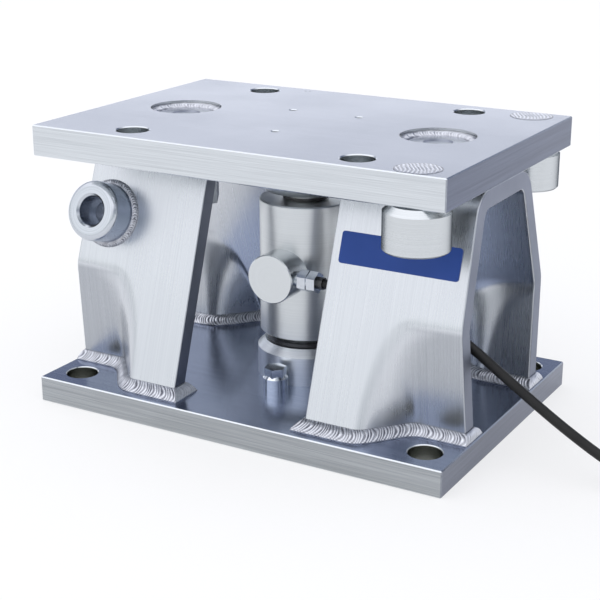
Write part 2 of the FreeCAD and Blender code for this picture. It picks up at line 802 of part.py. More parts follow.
for end, sign in ENDS.items():
    weld_preps.append(cone(
        f"{end}_plug_prep", "dims.post_spigot_radius", "dims.plug_weld_radius", "dims.plug_weld_depth",
        x="dims.post_x", y=f"{sign} * dims.post_y", z=f"{TOP_FACE} - dims.plug_weld_depth"))
PUNCH_PLACES = [(-52.7, 91.9), (-50, 93)]
punch_marks = [
    cylinder(f"punch_mark_{k}", "dims.punch_radius", "dims.punch_depth",
             x=str(x), y=str(y), z=f"{TOP_FACE} - dims.punch_depth")
    for k, (x, y) in enumerate(PUNCH_PLACES)]
nodes.append(cut("top_plate", top_blank, *weld_preps, *punch_marks))


# Hold-downs: a headed stud welded into the plate, with a washer and nut under the arch's top
def hold_down(side, sign):
    """The stud, its ring weld, its washer and its nut on one side."""
    x = f"{sign} * dims.stud_x"
    stud = turned(side + "_hold_down_stud", [
        ("0", "dims.stud_end_z"),
        ("dims.stud_radius - dims.column_crown", "dims.stud_end_z"),
        ("dims.stud_radius", "dims.stud_end_z + dims.column_crown"),
        ("dims.stud_radius", UNDERSIDE),
        ("dims.stud_head_radius", UNDERSIDE),
        ("dims.stud_head_radius", STUD_TOP),
        ("dims.stud_dimple_radius", STUD_TOP),
        ("dims.stud_dimple_radius", f"{STUD_TOP} - dims.stud_dimple_depth"),
        ("0", f"{STUD_TOP} - dims.stud_dimple_depth"),
    ], x=x)
    weld = turned(side + "_stud_weld", [
        ("dims.stud_head_radius", f"{TOP_FACE} - dims.stud_weld_depth"),
        ("dims.stud_weld_radius", WELD_EDGE),
        ("dims.stud_head_radius", STUD_TOP),
    ], x=x)
    washer = turned(side + "_hold_down_washer", [
        ("dims.washer_bore_radius", "0"),
        ("dims.washer_radius", "0"),
        ("dims.washer_radius", "dims.washer_thick"),
        ("dims.washer_bore_radius", "dims.washer_thick"),
    ], x=x, z="dims.washer_top_z - dims.washer_thick")
    nut_z = "dims.washer_top_z - dims.washer_thick - dims.nut_height"
    nut_bar = hexagon(side + "_nut_bar", "dims.nut_flats", "dims.nut_height", x=x, z=nut_z)
    nut_bore = cylinder(side + "_nut_bore", "dims.stud_radius", "dims.nut_height", x=x, z=nut_z)
    return [stud, weld, washer, cut(side + "_hold_down_nut", nut_bar, nut_bore)]


for side, sign in SIDES.items():
    nodes += hold_down(side, sign)


# Stop posts: turned posts under the plate's right corners, each with a spigot plug welded in the plate
def stop_post(end, sign):
    """A post and the plug weld over it."""
    where = {"x": "dims.post_x", "y": f"{sign} * dims.post_y", "z": UNDERSIDE}
    spigot_top = "dims.top_thick - dims.plug_weld_depth"
    post = turned(end + "_stop_post", [
        ("0", "-dims.post_length"),
        ("dims.post_radius - dims.post_chamfer", "-dims.post_length"),
        ("dims.post_radius", "dims.post_chamfer - dims.post_length"),
        ("dims.post_radius", "-dims.post_shoulder"),
        ("dims.post_radius - dims.post_shoulder", "0"),
        ("dims.post_spigot_radius", "0"),
        ("dims.post_spigot_radius", spigot_top),
        ("0", spigot_top),
    ], **where)
    weld = turned(end + "_post_plug_weld", [
        ("0", spigot_top),
        ("dims.post_spigot_radius", spigot_top),
        ("dims.plug_weld_radius", "dims.top_thick"),
        ("0", "dims.top_thick"),
    ], **where)
    return [post, weld]


for end, sign in ENDS.items():
    nodes += stop_post(end, sign)

# Cable: straight out of the gland, through the right arch, down to the floor and into its coil
CABLE_RADIUS = dim("cable_diameter") / 2
GLAND_END = number(f"dims.gland_start_x + {GLAND_HEXES}")
GLAND_Y = dim("gland_y")
cable_route = [
    Vector(GLAND_END, GLAND_Y, dim("entry_z")),
    Vector(60, GLAND_Y, dim("entry_z")),
    Vector(95, -37, 91.5),
    Vector(130, -37, 76),
    Vector(165, -37, 52.5),
    Vector(200, -37, 30),
    Vector(232, -37, 13),
    Vector(262, -37.5, 4.5),
    Vector(290, -37, 4.2),
]


RUN_SHARE = 0.45
VOLUME_TOLERANCE = 0.005


def cable_tube(route):
    """A round tube along straight runs joined by arcs as large as their runs allow."""
    edges = []
    start = route[0]
    for before, corner, after in zip(route, route[1:], route[2:]):
        towards = (after - corner).normalize()
        back = (before - corner).normalize()
        turn = math.pi - back.getAngle(towards)
        trim = RUN_SHARE * min((corner - before).Length, (after - corner).Length)
        radius = trim / math.tan(turn / 2)
        print(f"cable bend {math.degrees(turn):.1f} degrees, radius {radius:.1f} mm")
        arc_start = corner + back * trim
        arc_end = corner + towards * trim
        inward = (back + towards).normalize()
        arc_middle = corner + inward * (radius / math.cos(turn / 2) - radius)
        edges.append(Part.LineSegment(start, arc_start).toShape())
        edges.append(Part.Arc(arc_start, arc_middle, arc_end).toShape())
        start = arc_end
    edges.append(Part.LineSegment(start, route[-1]).toShape())
    path = Part.Wire(edges)
    ring = Part.Wire(Part.Circle(route[0], route[1] - route[0], CABLE_RADIUS).toShape())
    tube = path.makePipeShell([ring], True, False)
    section = math.pi * CABLE_RADIUS ** 2
    if abs(tube.Volume / (section * path.Length) - 1) > VOLUME_TOLERANCE:
        raise RuntimeError("the cable's volume isn't its section times its length")
    print(f"cable stretch {path.Length:.1f} mm")
    return tube


# Coil: the put-away length as one ring of the turns' outer shape, tied once, its end lying on top
PITCH = "dims.cable_diameter"
COIL_HALF = f"(dims.coil_columns * {PITCH} / 2)"
COIL_Y = f"({GLAND_Y} + dims.coil_radius + (dims.coil_columns - 1) * {PITCH} / 2)"
COIL_TALL = f"(dims.coil_layers * {PITCH})"
COIL_INNER = f"(dims.coil_radius - {COIL_HALF})"
COIL_OUTER = f"(dims.coil_radius + {COIL_HALF})"
coil = turned("cable_coil", [
    (f"{COIL_INNER} + dims.coil_corner", "0"),
    (f"{COIL_OUTER} - dims.coil_corner", "0"),
    (COIL_OUTER, "dims.coil_corner"),
    (COIL_OUTER, f"{COIL_TALL} - dims.coil_corner"),
    (f"{COIL_OUTER} - dims.coil_corner", COIL_TALL),
    (f"{COIL_INNER} + dims.coil_corner", COIL_TALL),
    (COIL_INNER, f"{COIL_TALL} - dims.coil_corner"),
    (COIL_INNER, "dims.coil_corner"),
], x="dims.coil_x", y=COIL_Y, z="dims.coil_lift")
doc.recompute()
COIL_CENTRE = Vector(dim("coil_x"), number(COIL_Y), dim("coil_lift"))
COIL_TOP = number(f"dims.coil_lift + {COIL_TALL}")
TAIL_RADIUS = number(f"dims.coil_radius + {PITCH}")
TAIL_RISE = {-30: -3.5, -5: 1.6, 20: 2.9, 45: 2.9}


def on_coil(degrees, height):
    """A point over the coil's second outermost turn, at an angle and a height above its top."""
    angle = math.radians(degrees)
    around = Vector(math.cos(angle), math.sin(angle), 0) * TAIL_RADIUS
    return Vector(COIL_CENTRE.x, COIL_CENTRE.y, COIL_TOP + height) + around


tail_route = [on_coil(degrees, height) for degrees, height in TAIL_RISE.items()]
nodes.append(solid("cable", cable_tube(cable_route).cut(coil.Shape)))
nodes.append(coil)
over_coil = Part.makeBox(4 * dim("coil_radius"), 4 * dim("coil_radius"), dim("coil_radius"))
over_coil.translate(Vector(COIL_CENTRE.x, COIL_CENTRE.y, COIL_TOP) - Vector(2, 2, 0) * dim("coil_radius"))
nodes.append(solid("cable_tail", cable_tube(tail_route).common(over_coil)))

tie_box = doc.addObject("Part::Box", "tie_box")
tie_box.setExpression("Length", f"2 * ({COIL_HALF} + dims.tie_thick)")
tie_box.setExpression("Width", "dims.tie_width")
tie_box.setExpression("Height", f"{COIL_TALL} + 2 * dims.tie_thick")
tie_angle = math.radians(dim("tie_angle"))
tie_radial = Vector(math.cos(tie_angle), math.sin(tie_angle), 0)
tie_along = Vector(-math.sin(tie_angle), math.cos(tie_angle), 0)
tie_corner = COIL_CENTRE + tie_radial * (number(COIL_INNER) - dim("tie_thick"))
tie_corner -= tie_along * dim("tie_width") / 2
tie_corner.z -= dim("tie_thick")
tie_box.Placement = FreeCAD.Placement(tie_corner, Rotation(Vector(0, 0, 1), dim("tie_angle")))
nodes.append(cut("coil_tie", tie_box, coil))

# Leads: the stripped cores at the cable's far end
lead_start = tail_route[-1]
lead_way = (tail_route[-1] - tail_route[-2]).normalize()
lead_across = lead_way.cross(Vector(0, 0, 1)).normalize()
lead_upward = lead_across.cross(lead_way)
leads = doc.addObject("Part::Compound", "cable_leads")
lead_cores = []
for k in range(int(dim("lead_count"))):
    angle = 2 * math.pi * k / dim("lead_count")
    offset = (lead_across * math.cos(angle) + lead_upward * math.sin(angle)) * dim("lead_circle")
    core = doc.addObject("Part::Cylinder", f"lead_{k}")
    core.setExpression("Radius", "dims.lead_radius")
    core.setExpression("Height", "dims.lead_length")
    core.Placement = FreeCAD.Placement(lead_start + offset, Rotation(Vector(0, 0, 1), lead_way))
    lead_cores.append(core)
leads.Links = lead_cores
nodes.append(leads)

# Every object is checked before anything is written
doc.recompute()
for item in doc.Objects:
    if "Invalid" in item.State or "Error" in item.State:
        raise RuntimeError(f"{item.Label} failed: {item.State}")
for node in nodes:
    if node.Shape.isNull() or not node.Shape.isValid():
        raise RuntimeError(f"{node.Label} has no valid shape")

os.makedirs("parts", exist_ok=True)
for node in nodes:
    node.Shape.exportStep(f"parts/{node.Label}.step")
print(f"{len(nodes)} pieces written")
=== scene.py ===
from math import atan, ceil, copysign, cos, hypot, pi, radians, sin, sqrt, tan, tau

import bmesh
import bpy
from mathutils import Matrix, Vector


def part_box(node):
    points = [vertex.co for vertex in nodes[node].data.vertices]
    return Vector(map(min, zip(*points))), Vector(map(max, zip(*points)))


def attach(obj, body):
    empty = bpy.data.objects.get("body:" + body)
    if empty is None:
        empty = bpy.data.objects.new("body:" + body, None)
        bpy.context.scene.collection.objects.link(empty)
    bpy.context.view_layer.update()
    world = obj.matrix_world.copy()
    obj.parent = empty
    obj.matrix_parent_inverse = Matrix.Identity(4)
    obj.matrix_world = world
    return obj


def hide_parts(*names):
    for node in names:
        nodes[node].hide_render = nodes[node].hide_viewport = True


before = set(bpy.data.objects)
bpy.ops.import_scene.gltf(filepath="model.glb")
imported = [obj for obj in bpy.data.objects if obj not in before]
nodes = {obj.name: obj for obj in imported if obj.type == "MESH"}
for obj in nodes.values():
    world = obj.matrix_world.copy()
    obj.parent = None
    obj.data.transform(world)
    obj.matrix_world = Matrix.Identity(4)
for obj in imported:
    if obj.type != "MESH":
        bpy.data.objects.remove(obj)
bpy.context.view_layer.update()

# Base plate: thick steel plate with a bolt hole in each corner, which all the rest stands on.
# Its faces are ground bright and brushed along the plate, its two end faces across it.
# Painted shade: the base plate's colours are set darker than the top plate's steel, its top face a
# painted dark blue reflection and its end faces deeper painted shade.
BASE_SIDES_PAINTED_SHADE = ((0.29, 0.31, 0.32), (0.52, 0.54, 0.56))
BASE_TOP_PAINTED_REFLECTION = ((0.243, 0.291, 0.405), (0.40, 0.45, 0.575))
BASE_ENDS_PAINTED_SHADE = ((0.145, 0.16, 0.205), (0.25, 0.27, 0.33))
# Painted highlight: a pale colour laid on the plates' chamfered edges.
EDGE_HIGHLIGHT_PAINT = (0.68, 0.71, 0.74)
# Painted shade inside the base plate's bolt holes.
BORE_PAINTED_SHADE = (0.27, 0.28, 0.26)
BOLT_HOLE = 0.0107
BASE_HOLES = [(0.129, 0.082, BOLT_HOLE, BORE_PAINTED_SHADE)]
BRUSHED_ALONG = (13.0, 1900.0, 1900.0)
BRUSHED_ACROSS = (1900.0, 13.0, 1900.0)
BROAD_MARKS = 0.3
BROAD_SHARE = 0.35
STREAK_RANGE = (0.4, 0.95)
PATCH_RANGE = (0.35, 0.7)
PLATE_PATCHES = 14.0
PLATE_RELIEF = 0.000012
END_FACING = (0.6, 0.8)
TOP_FACING = (0.8, 0.95)
EDGE_FACING = ((0.4, 0.6), (0.9, 0.8))


def put(tree, kind, inputs, **options):
    """Adds a shader node, sets its options, and links or sets its inputs."""
    node = tree.nodes.new("ShaderNode" + kind)
    for option, value in options.items():
        setattr(node, option, value)
    for name, value in inputs.items():
        socket = node.inputs[name]
        if isinstance(value, bpy.types.NodeSocket):
            tree.links.new(value, socket)
        elif socket.type == "RGBA":
            socket.default_value = (*value, 1)
        else:
            socket.default_value = value
    return node


def spread(value, low, high, to_low=0.0, to_high=1.0, **options):
    """Maps a value from one range to another and holds it inside."""
    ranges = {0: value, 1: low, 2: high, 3: to_low, 4: to_high}
    return put(value.id_data, "MapRange", ranges, **options).outputs["Result"]


def blended(share, first, second, **options):
    """A colour between two others."""
    colours = {0: share, 6: first, 7: second}
    return put(share.id_data, "Mix", colours, data_type="RGBA", **options).outputs[2]


def combined(operation, first, second=0.0):
    """The result of one sum on two values."""
    return put(first.id_data, "Math", {0: first, 1: second}, operation=operation).outputs[0]


def averaged(first, second):
    """Half way between two values."""
    return combined("MULTIPLY", combined("ADD", first, second), 0.5)


def vectors(operation, first, second=(0, 0, 0)):
    """The result of one sum on two vectors; a length or a dot product is a plain value."""
    results = put(first.id_data, "VectorMath", {0: first, 1: second}, operation=operation).outputs
    return results["Value" if operation in ("LENGTH", "DOT_PRODUCT") else "Vector"]


def parts(vector):
    """A vector's three values."""
    return put(vector.id_data, "SeparateXYZ", {0: vector}).outputs


def noise(place, scale, detail, roughness=0.5):
    """Cloudy values about a half."""
    inputs = {"Vector": place, "Scale": scale, "Detail": detail, "Roughness": roughness}
    return put(place.id_data, "TexNoise", inputs).outputs["Fac"]


def effect_group(name, **inputs):
    """An empty shader node group with named inputs of given kinds, and the inputs' sockets."""
    tree = bpy.data.node_groups.new(name, "ShaderNodeTree")
    for label, kind in inputs.items():
        tree.interface.new_socket(label, in_out="INPUT", socket_type="NodeSocket" + kind)
    return tree, tree.nodes.new("NodeGroupInput").outputs


def give(tree, **outputs):
    """Ends a shader node group with its named outputs."""
    for label in outputs:
        tree.interface.new_socket(label, in_out="OUTPUT", socket_type="NodeSocketFloat")
    result = tree.nodes.new("NodeGroupOutput").inputs
    for label, value in outputs.items():
        tree.links.new(value, result[label])
    return tree


def effect(group, **inputs):
    """The outputs of a shared effect, placed in a material."""
    return put(inputs["Place"].id_data, "Group", inputs, node_tree=group).outputs


def make_brush_marks():
    """Long fine scratches, given by their number per metre in each direction."""
    tree, given = effect_group("brush_marks", Place="Vector", Marks="Vector")
    place = vectors("MULTIPLY", given["Place"], given["Marks"])
    fine = noise(place, scale=1.0, detail=3.0, roughness=0.7)
    broad = combined("MULTIPLY", noise(place, BROAD_MARKS, detail=1.0), BROAD_SHARE)
    streak = spread(combined("ADD", fine, broad), *STREAK_RANGE)
    return give(tree, Streak=streak, Height=fine)


def make_handling_marks():
    """Soft cloudy patches where the metal has been wiped and handled, as patches per metre."""
    tree, given = effect_group("handling_marks", Place="Vector", Patches="Float")
    cloud = noise(given["Place"], given["Patches"], detail=3.0)
    return give(tree, Patch=spread(cloud, *PATCH_RANGE))


def new_finish(name, **constants):
    """A material with its shader's even values set, and the shader for the rest."""
    material = bpy.data.materials.new(name)
    material.use_nodes = True
    shader = material.node_tree.nodes["Principled BSDF"]
    for socket, value in constants.items():
        shader.inputs[socket.replace("_", " ").title().replace("Ior", "IOR")].default_value = value
    return material, shader


def surface(shader):
    """The places and normals on a material's surface."""
    return put(shader.id_data, "TexCoord", {}).outputs


def noted(shader, name):
    """What a piece keeps for each of its points."""
    return put(shader.id_data, "Attribute", {}, attribute_name=name).outputs


def feed(shader, colour, roughness, height, relief):
    """Links a surface's colour, roughness and relief to its shader; the relief is in metres."""
    tree = shader.id_data
    tree.links.new(colour, shader.inputs["Base Color"])
    tree.links.new(roughness, shader.inputs["Roughness"])
    bump = put(tree, "Bump", {"Strength": 1.0, "Distance": relief, "Height": height})
    tree.links.new(bump.outputs["Normal"], shader.inputs["Normal"])


def coat(material, *names):
    """Gives carried-over nodes their finish."""
    for name in names:
        nodes[name].material_slots[0].material = material


brush_marks = make_brush_marks()
handling_marks = make_handling_marks()


def plate_finish(name, sides, ends, top, holes, gloss):
    """Brushed plate: ends brushed the other way in their own darker tones, painted shade; a painted
    highlight on the edges; each hole in its own colour, painted shade in the base plate's bolt
    holes.
    """
    material, shader = new_finish(name, metallic=1.0)
    coordinates = surface(shader)
    place = coordinates["Object"]
    facing = parts(coordinates["Normal"])
    on_end = spread(combined("ABSOLUTE", facing["X"]), *END_FACING)
    directions = {0: on_end, 4: BRUSHED_ALONG, 5: BRUSHED_ACROSS}
    marks = put(shader.id_data, "Mix", directions, data_type="VECTOR").outputs[1]
    brush = effect(brush_marks, Place=place, Marks=marks)
    patch = effect(handling_marks, Place=place, Patches=PLATE_PATCHES)["Patch"]
    wear = averaged(brush["Streak"], patch)
    on_top = spread(facing["Z"], *TOP_FACING)
    slope = combined("ABSOLUTE", facing["Z"])
    on_edge = combined("MULTIPLY", *(spread(slope, *limits) for limits in EDGE_FACING))
    # The end faces' darker tones are painted shade.
    side, end, face = (blended(brush["Streak"], *tones) for tones in (sides, ends, top))
    colour = blended(on_top, blended(on_end, side, end), face)
    # Painted highlight along the chamfered edges.
    colour = blended(on_edge, colour, EDGE_HIGHLIGHT_PAINT)
    corner = vectors("ABSOLUTE", place)
    # Each hole gets its own colour: painted shade in the base plate's bolt holes, grey steel in the
    # top plate's holes and stud recess.
    for x, y, radius, shade in holes:
        arm = vectors("SUBTRACT", corner, (x, y, 0))
        from_axis = vectors("LENGTH", vectors("MULTIPLY", arm, (1, 1, 0)))
        colour = blended(combined("LESS_THAN", from_axis, radius), colour, shade)
    feed(shader, colour, spread(wear, 0, 1, *gloss), brush["Height"], PLATE_RELIEF)
    return material


base_steel = plate_finish("base_plate_steel", BASE_SIDES_PAINTED_SHADE, BASE_ENDS_PAINTED_SHADE, BASE_TOP_PAINTED_REFLECTION, BASE_HOLES,
                          gloss=(0.16, 0.26))
coat(base_steel, "base_plate")

# Arches: two strips of thick steel plate bent to a flat top on splayed legs, brushed lengthwise.
# Each leg's outer lower corner is pressed in to clear the base bolts, the cut edges are rounded,
# and the top is drilled for the hold-down stud. The feet are welded to the base plate.
ARCH_TONES = ((0.583, 0.603, 0.634), (0.667, 0.689, 0.715))
# Painted shade: darker tones for the pressed dents and the cut ends.
DENT_PAINTED_SHADE_TONES = ((0.40, 0.42, 0.45), (0.49, 0.51, 0.54))
CUT_END_PAINTED_SHADE_TONES = ((0.19, 0.21, 0.265), (0.27, 0.29, 0.355))
ARCH_GLOSS = (0.22, 0.34)
CUT_DULLNESS = 0.15
PRESSED_RANGE = (0.45, 1)
CUT_FACING = (0.7, 0.95)
LEFT_CUT_RANGE = (0.0008, 0.0003)
INNER_CUT_SHADE = 0.25
ARCH_PATCHES = 20.0
ARCH_RELIEF = 0.00001
BRUSHED_UP = (1300.0, 4.0, 4.0)
ARCH_THICK = 0.012
ARCH_EDGE = 0.0011
ARCH_BEND = 0.020
OUTER_LEAN = 0.0334
LEG_SLOPE = 0.33
LEG_REACH = 0.065
LEG_REACH_HEIGHT = 0.090
KNEE_HEIGHT = 0.0895
FLOOR_SLOPE = 0.1
DENT_EDGE = 0.086
DENT_EDGE_HEIGHT = 0.020
DENT_EDGE_RUN = 0.036
DENT_EDGE_RISE = 0.074
DENT_CREASE = 0.110
DENT_CREASE_HEIGHT = 0.045
DENT_CREASE_CURL = 3.2
LEAST_WALL = 0.001
KNEE_BLEND = 0.0014
EDGE_BLEND = 0.005
EDGE_TIGHTEN = 0.2
CREASE_BLEND = 0.004
CREASE_WIDEN = 0.5
BLEND_CHANGE = 0.005
EDGE_LIFT = 30.0
STRAIGHT_HEIGHT = 0.102
STUD_HOLE = 0.020
LEG_STEPS = 50
STRAIGHT_STEPS = 5
BEND_STEPS = 9
TOP_STEPS = 8
EDGE_STEPS = 4
LENGTH_STEPS = 60
DRILL_SIDES = 96
SHARP_ANGLE = radians(40)
LEAN = atan(LEG_SLOPE)
SIDES = {"left": -1, "right": 1}
ENDS = {"front": -1, "rear": 1}
arch_low, arch_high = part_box("right_arch")
stud_low, stud_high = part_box("right_hold_down_stud")
stud_x = (stud_low.x + stud_high.x) / 2


def soft_min(first, second, blend):
    """The lesser of two values, rounded where they cross."""
    closeness = max(blend - abs(first - second), 0) / blend
    return min(first, second) - closeness ** 2 * blend / 4


def soft_max(first, second, blend):
    """The greater of two values, rounded where they cross."""
    return -soft_min(-first, -second, blend)


def leg_face(z, depth=0.0):
    """Distance of a leg's flat face from the middle plane, at a depth under its outer skin."""
    return LEG_REACH + LEG_SLOPE * (LEG_REACH_HEIGHT - z) - depth * hypot(1, LEG_SLOPE)


def leg_reach(x, z, depth=0.0):
    """Distance of a leg from the middle plane, with its pressed corner."""
    floor_skin = leg_face(KNEE_HEIGHT) - FLOOR_SLOPE * (KNEE_HEIGHT - z)
    share = min(max((z - DENT_EDGE_HEIGHT) / DENT_EDGE_RISE, 0), 1)
    edge = DENT_EDGE + DENT_EDGE_RUN * (1 - sqrt(1 - share ** 2))
    crease = DENT_CREASE + DENT_CREASE_CURL * max(z - DENT_CREASE_HEIGHT, 0) ** 2
    wall_slope = max(leg_face(z) - floor_skin, 0) / max(crease - edge, LEAST_WALL)
    floor = floor_skin - depth * hypot(1, FLOOR_SLOPE)
    wall = floor_skin + wall_slope * (crease - x) - depth * hypot(1, wall_slope)
    wall_share = soft_min(soft_max(0.5 + (wall - floor) / (2 * BLEND_CHANGE), 0, 1), 1, 1)
    edge_blend = EDGE_BLEND - EDGE_TIGHTEN * depth
    blend = KNEE_BLEND + (edge_blend - KNEE_BLEND) * wall_share
    bottom = soft_max(floor, wall, CREASE_BLEND + CREASE_WIDEN * depth)
    return soft_min(leg_face(z, depth), bottom + EDGE_LIFT * max(edge - x, 0) ** 2, blend)


def pressed_share(x, z):
    """How far a leg is pressed in at a place, from 0 on its flat face to 1 on the dent's floor."""
    full = leg_face(z) - leg_face(KNEE_HEIGHT) + FLOOR_SLOPE * (KNEE_HEIGHT - z)
    return min(max((leg_face(z) - leg_reach(x, z)) / max(full, LEAST_WALL), 0), 1)


def outer_end(z):
    """Where an arch's outer end stands at a height: it leans in a little towards the top."""
    return arch_high.x - OUTER_LEAN * (z - arch_low.z)


def steps(start, end, count):
    """Evenly spaced values from one to another, both ends included."""
    return [start + (end - start) * k / count for k in range(count + 1)]


def arch_skin(share, offset, depth):
    """One skin of an arch at a station along it, from front foot over the top to rear foot."""

    def along(z):
        return arch_low.x + (outer_end(z) - arch_low.x) * share + offset

    top = arch_high.z - depth
    radius = ARCH_BEND - depth
    centre_y = leg_face(top, depth) - radius * tan((pi / 2 - LEAN) / 2)
    centre_z = top - radius
    bend_start = centre_z + radius * sin(LEAN)
    half = [(leg_reach(along(z), z, depth), z)
            for z in steps(arch_low.z, STRAIGHT_HEIGHT, LEG_STEPS)]
    half += [(leg_face(z, depth), z)
             for z in steps(STRAIGHT_HEIGHT, bend_start, STRAIGHT_STEPS)[1:-1]]
    half += [(centre_y + radius * cos(turn), centre_z + radius * sin(turn))
             for turn in steps(LEAN, pi / 2, BEND_STEPS)]
    front = [(-y, z) for y, z in half]
    across = [(y, top) for y in steps(-centre_y, centre_y, TOP_STEPS)[1:-1]]
    return [Vector((along(z), y, z)) for y, z in front + across + half[::-1]]


def arch_loops():
    """An arch's closed sections from its inner to its outer end, drawn in at the cut edges."""
    edge = [(ARCH_EDGE * (1 - sin(turn)), ARCH_EDGE * (1 - cos(turn)))
            for turn in steps(pi / 2, 0, EDGE_STEPS)]
    stations = [(0, drop, inset) for drop, inset in edge]
    stations += [(share, 0, 0) for share in steps(0, 1, LENGTH_STEPS)[2:-2]]
    stations += [(1, -drop, inset) for drop, inset in edge[::-1]]
    return [arch_skin(share, offset, inset) + arch_skin(share, offset, ARCH_THICK - inset)[::-1]
            for share, offset, inset in stations]


def swept_faces(rows, points, closed_rows):
    """Faces between neighbouring closed loops of points, numbered row by row."""
    faces = []
    for row in range(rows if closed_rows else rows - 1):
        near = row * points
        far = (row + 1) % rows * points
        for k in range(points):
            following = (k + 1) % points
            faces.append((near + k, near + following, far + following, far + k))
    return faces


def capped_faces(rows, points):
    """Faces of a row of closed loops with both its ends closed."""
    last = (rows - 1) * points
    caps = [tuple(range(points)), tuple(range(last, last + points))]
    return swept_faces(rows, points, False) + caps


def placed(name, data):
    """A new object in the scene."""
    thing = bpy.data.objects.new(name, data)
    bpy.context.collection.objects.link(thing)
    return thing


def new_piece(name, points, faces, material):
    """An object of the module with smooth faces, its normals outward, riding on the frame."""
    mesh = bpy.data.meshes.new(name)
    mesh.from_pydata(points, [], faces)
    shaped = bmesh.new()
    shaped.from_mesh(mesh)
    bmesh.ops.recalc_face_normals(shaped, faces=shaped.faces)
    shaped.to_mesh(mesh)
    shaped.free()
    mesh.shade_smooth()
    mesh.materials.append(material)
    piece = placed(name, mesh)
    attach(piece, "root")
    return piece


def note(piece, name, values):
    """Keeps a value for each point of a piece, for its material to read."""
    piece.data.attributes.new(name, "FLOAT", "POINT").data.foreach_set("value", values)


def bored(piece, centre, radius, reach):
    """Drills an upright round hole through a piece."""
    drill_mesh = bpy.data.meshes.new("drill")
    drill = bmesh.new()
    bmesh.ops.create_cone(
        drill, cap_ends=True, segments=DRILL_SIDES, radius1=radius, radius2=radius, depth=reach)
    bmesh.ops.translate(drill, verts=drill.verts, vec=centre)
    drill.to_mesh(drill_mesh)
    drill.free()
    bit = placed("drill", drill_mesh)
    hole = piece.modifiers.new("hole", "BOOLEAN")
    hole.operation = "DIFFERENCE"
    hole.solver = "EXACT"
    hole.object = bit
    cut = piece.evaluated_get(bpy.context.evaluated_depsgraph_get())
    shaped = bpy.data.meshes.new_from_object(cut)
    piece.modifiers.remove(hole)
    piece.data = shaped
    bpy.data.objects.remove(bit)


def make_arch(side, sign, material):
    """An arch of the left or the right side."""
    loops = arch_loops()
    count = len(loops[0])
    skin = count // 2
    points = [Vector((sign * p.x, p.y, p.z)) for loop in loops for p in loop]
    faces = swept_faces(len(loops), count, False)
    for start in (0, (len(loops) - 1) * count):
        for k in range(skin - 1):
            faces.append((start + k, start + k + 1, start + count - 2 - k, start + count - 1 - k))
    piece = new_piece(side + "_arch_plate", points, faces, material)
    bored(piece, Vector((sign * stud_x, 0, arch_high.z)), STUD_HOLE, 3 * ARCH_THICK)
    piece.data.set_sharp_from_angle(angle=SHARP_ANGLE)
    piece.modifiers.new("shading", "WEIGHTED_NORMAL").keep_sharp = True
    points = [vertex.co for vertex in piece.data.vertices]
    note(piece, "pressed", [pressed_share(abs(point.x), point.z) for point in points])
    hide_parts(side + "_arch")


def arch_finish():
    """Plate brushed along the bend, with painted shade in the pressed dents and on the cut ends,
    deepest on the left arch's inner cut end.
    """
    material, shader = new_finish("bent_plate_steel", metallic=1.0)
    coordinates = surface(shader)
    place = coordinates["Object"]
    brush = effect(brush_marks, Place=place, Marks=BRUSHED_UP)
    patch = effect(handling_marks, Place=place, Patches=ARCH_PATCHES)["Patch"]
    wear = averaged(brush["Streak"], patch)
    flat = blended(brush["Streak"], *ARCH_TONES)
    # Painted shade where the legs are pressed in.
    dent_shade = blended(brush["Streak"], *DENT_PAINTED_SHADE_TONES)
    pressed = noted(shader, "pressed")["Fac"]
    colour = blended(spread(pressed, *PRESSED_RANGE), flat, dent_shade)
    across = parts(coordinates["Normal"])["X"]
    along = parts(place)["X"]
    from_left_cut = combined("ABSOLUTE", combined("ADD", along, arch_low.x))
    shade = combined("MULTIPLY", spread(from_left_cut, *LEFT_CUT_RANGE), INNER_CUT_SHADE)
    # Painted shade on the cut ends, going towards black on the left arch's inner cut end.
    cut = blended(shade, blended(patch, *CUT_END_PAINTED_SHADE_TONES), (0, 0, 0))
    on_end = spread(combined("ABSOLUTE", across), *CUT_FACING)
    colour = blended(on_end, colour, cut)
    roughness = spread(wear, 0, 1, *ARCH_GLOSS)
    roughness = combined("ADD", roughness, spread(on_end, 0, 1, 0, CUT_DULLNESS))
    feed(shader, colour, roughness, brush["Height"], ARCH_RELIEF)
    return material


bent_plate_steel = arch_finish()
for side, sign in SIDES.items():
    make_arch(side, sign, bent_plate_steel)

# Foot welds: a fillet bead laid all round each foot of the arches, thin at the outer end.
# The weld metal froze in close crescent ripples and was left as it came, pale and bright.
# Painted shade: the ripples' grooves take the dark tone, the crests the pale one.
WELD_GROOVE_SHADE_TONES = ((0.115, 0.118, 0.145), (0.73, 0.75, 0.80))
WELD_GRAINS = 1400.0
WELD_PATCHES = 300.0
WELD_PATCH_SHADE = (-0.12, 0.08)
WELD_RELIEF = 0.00004
GRAIN_RANGE = (0.3, 0.7)
FOOT_LEG = 0.0065
FOOT_OUTER_LEG = 0.003
BEAD_SINK = 0.0003
BEAD_CROWN = 0.0008
BEAD_FADE = 6
BEAD_STEP = 0.0003
BEAD_LANES = 10
RIPPLE_PITCH = 0.0021
RIPPLE_BOW = 0.0026
RIPPLE_HEIGHT = 0.00045
RIPPLE_WANDER = ((0.25, 310, 0), (0.2, 870, 1))
RIPPLE_DEPTH = 0.85
RIPPLE_CHANGE = (0.15, 640)
RIPPLE_CHANGE_ACROSS = 3
CORNER_TURN = 0.45
TOE_ROUNDING_STEPS = 20
TOE_SMOOTHING = 0.005
TOE_SMOOTHING_STEPS = 4
OUTER_END_RIPPLE = 0.5
INNER_END_RIPPLE = 0.3


def make_fine_grain():
    """A fine even grain, given by its number of grains per metre."""
    tree, given = effect_group("fine_grain", Place="Vector", Grains="Float")
    return give(tree, Grain=noise(given["Place"], given["Grains"], detail=2.0))


fine_grain = make_fine_grain()


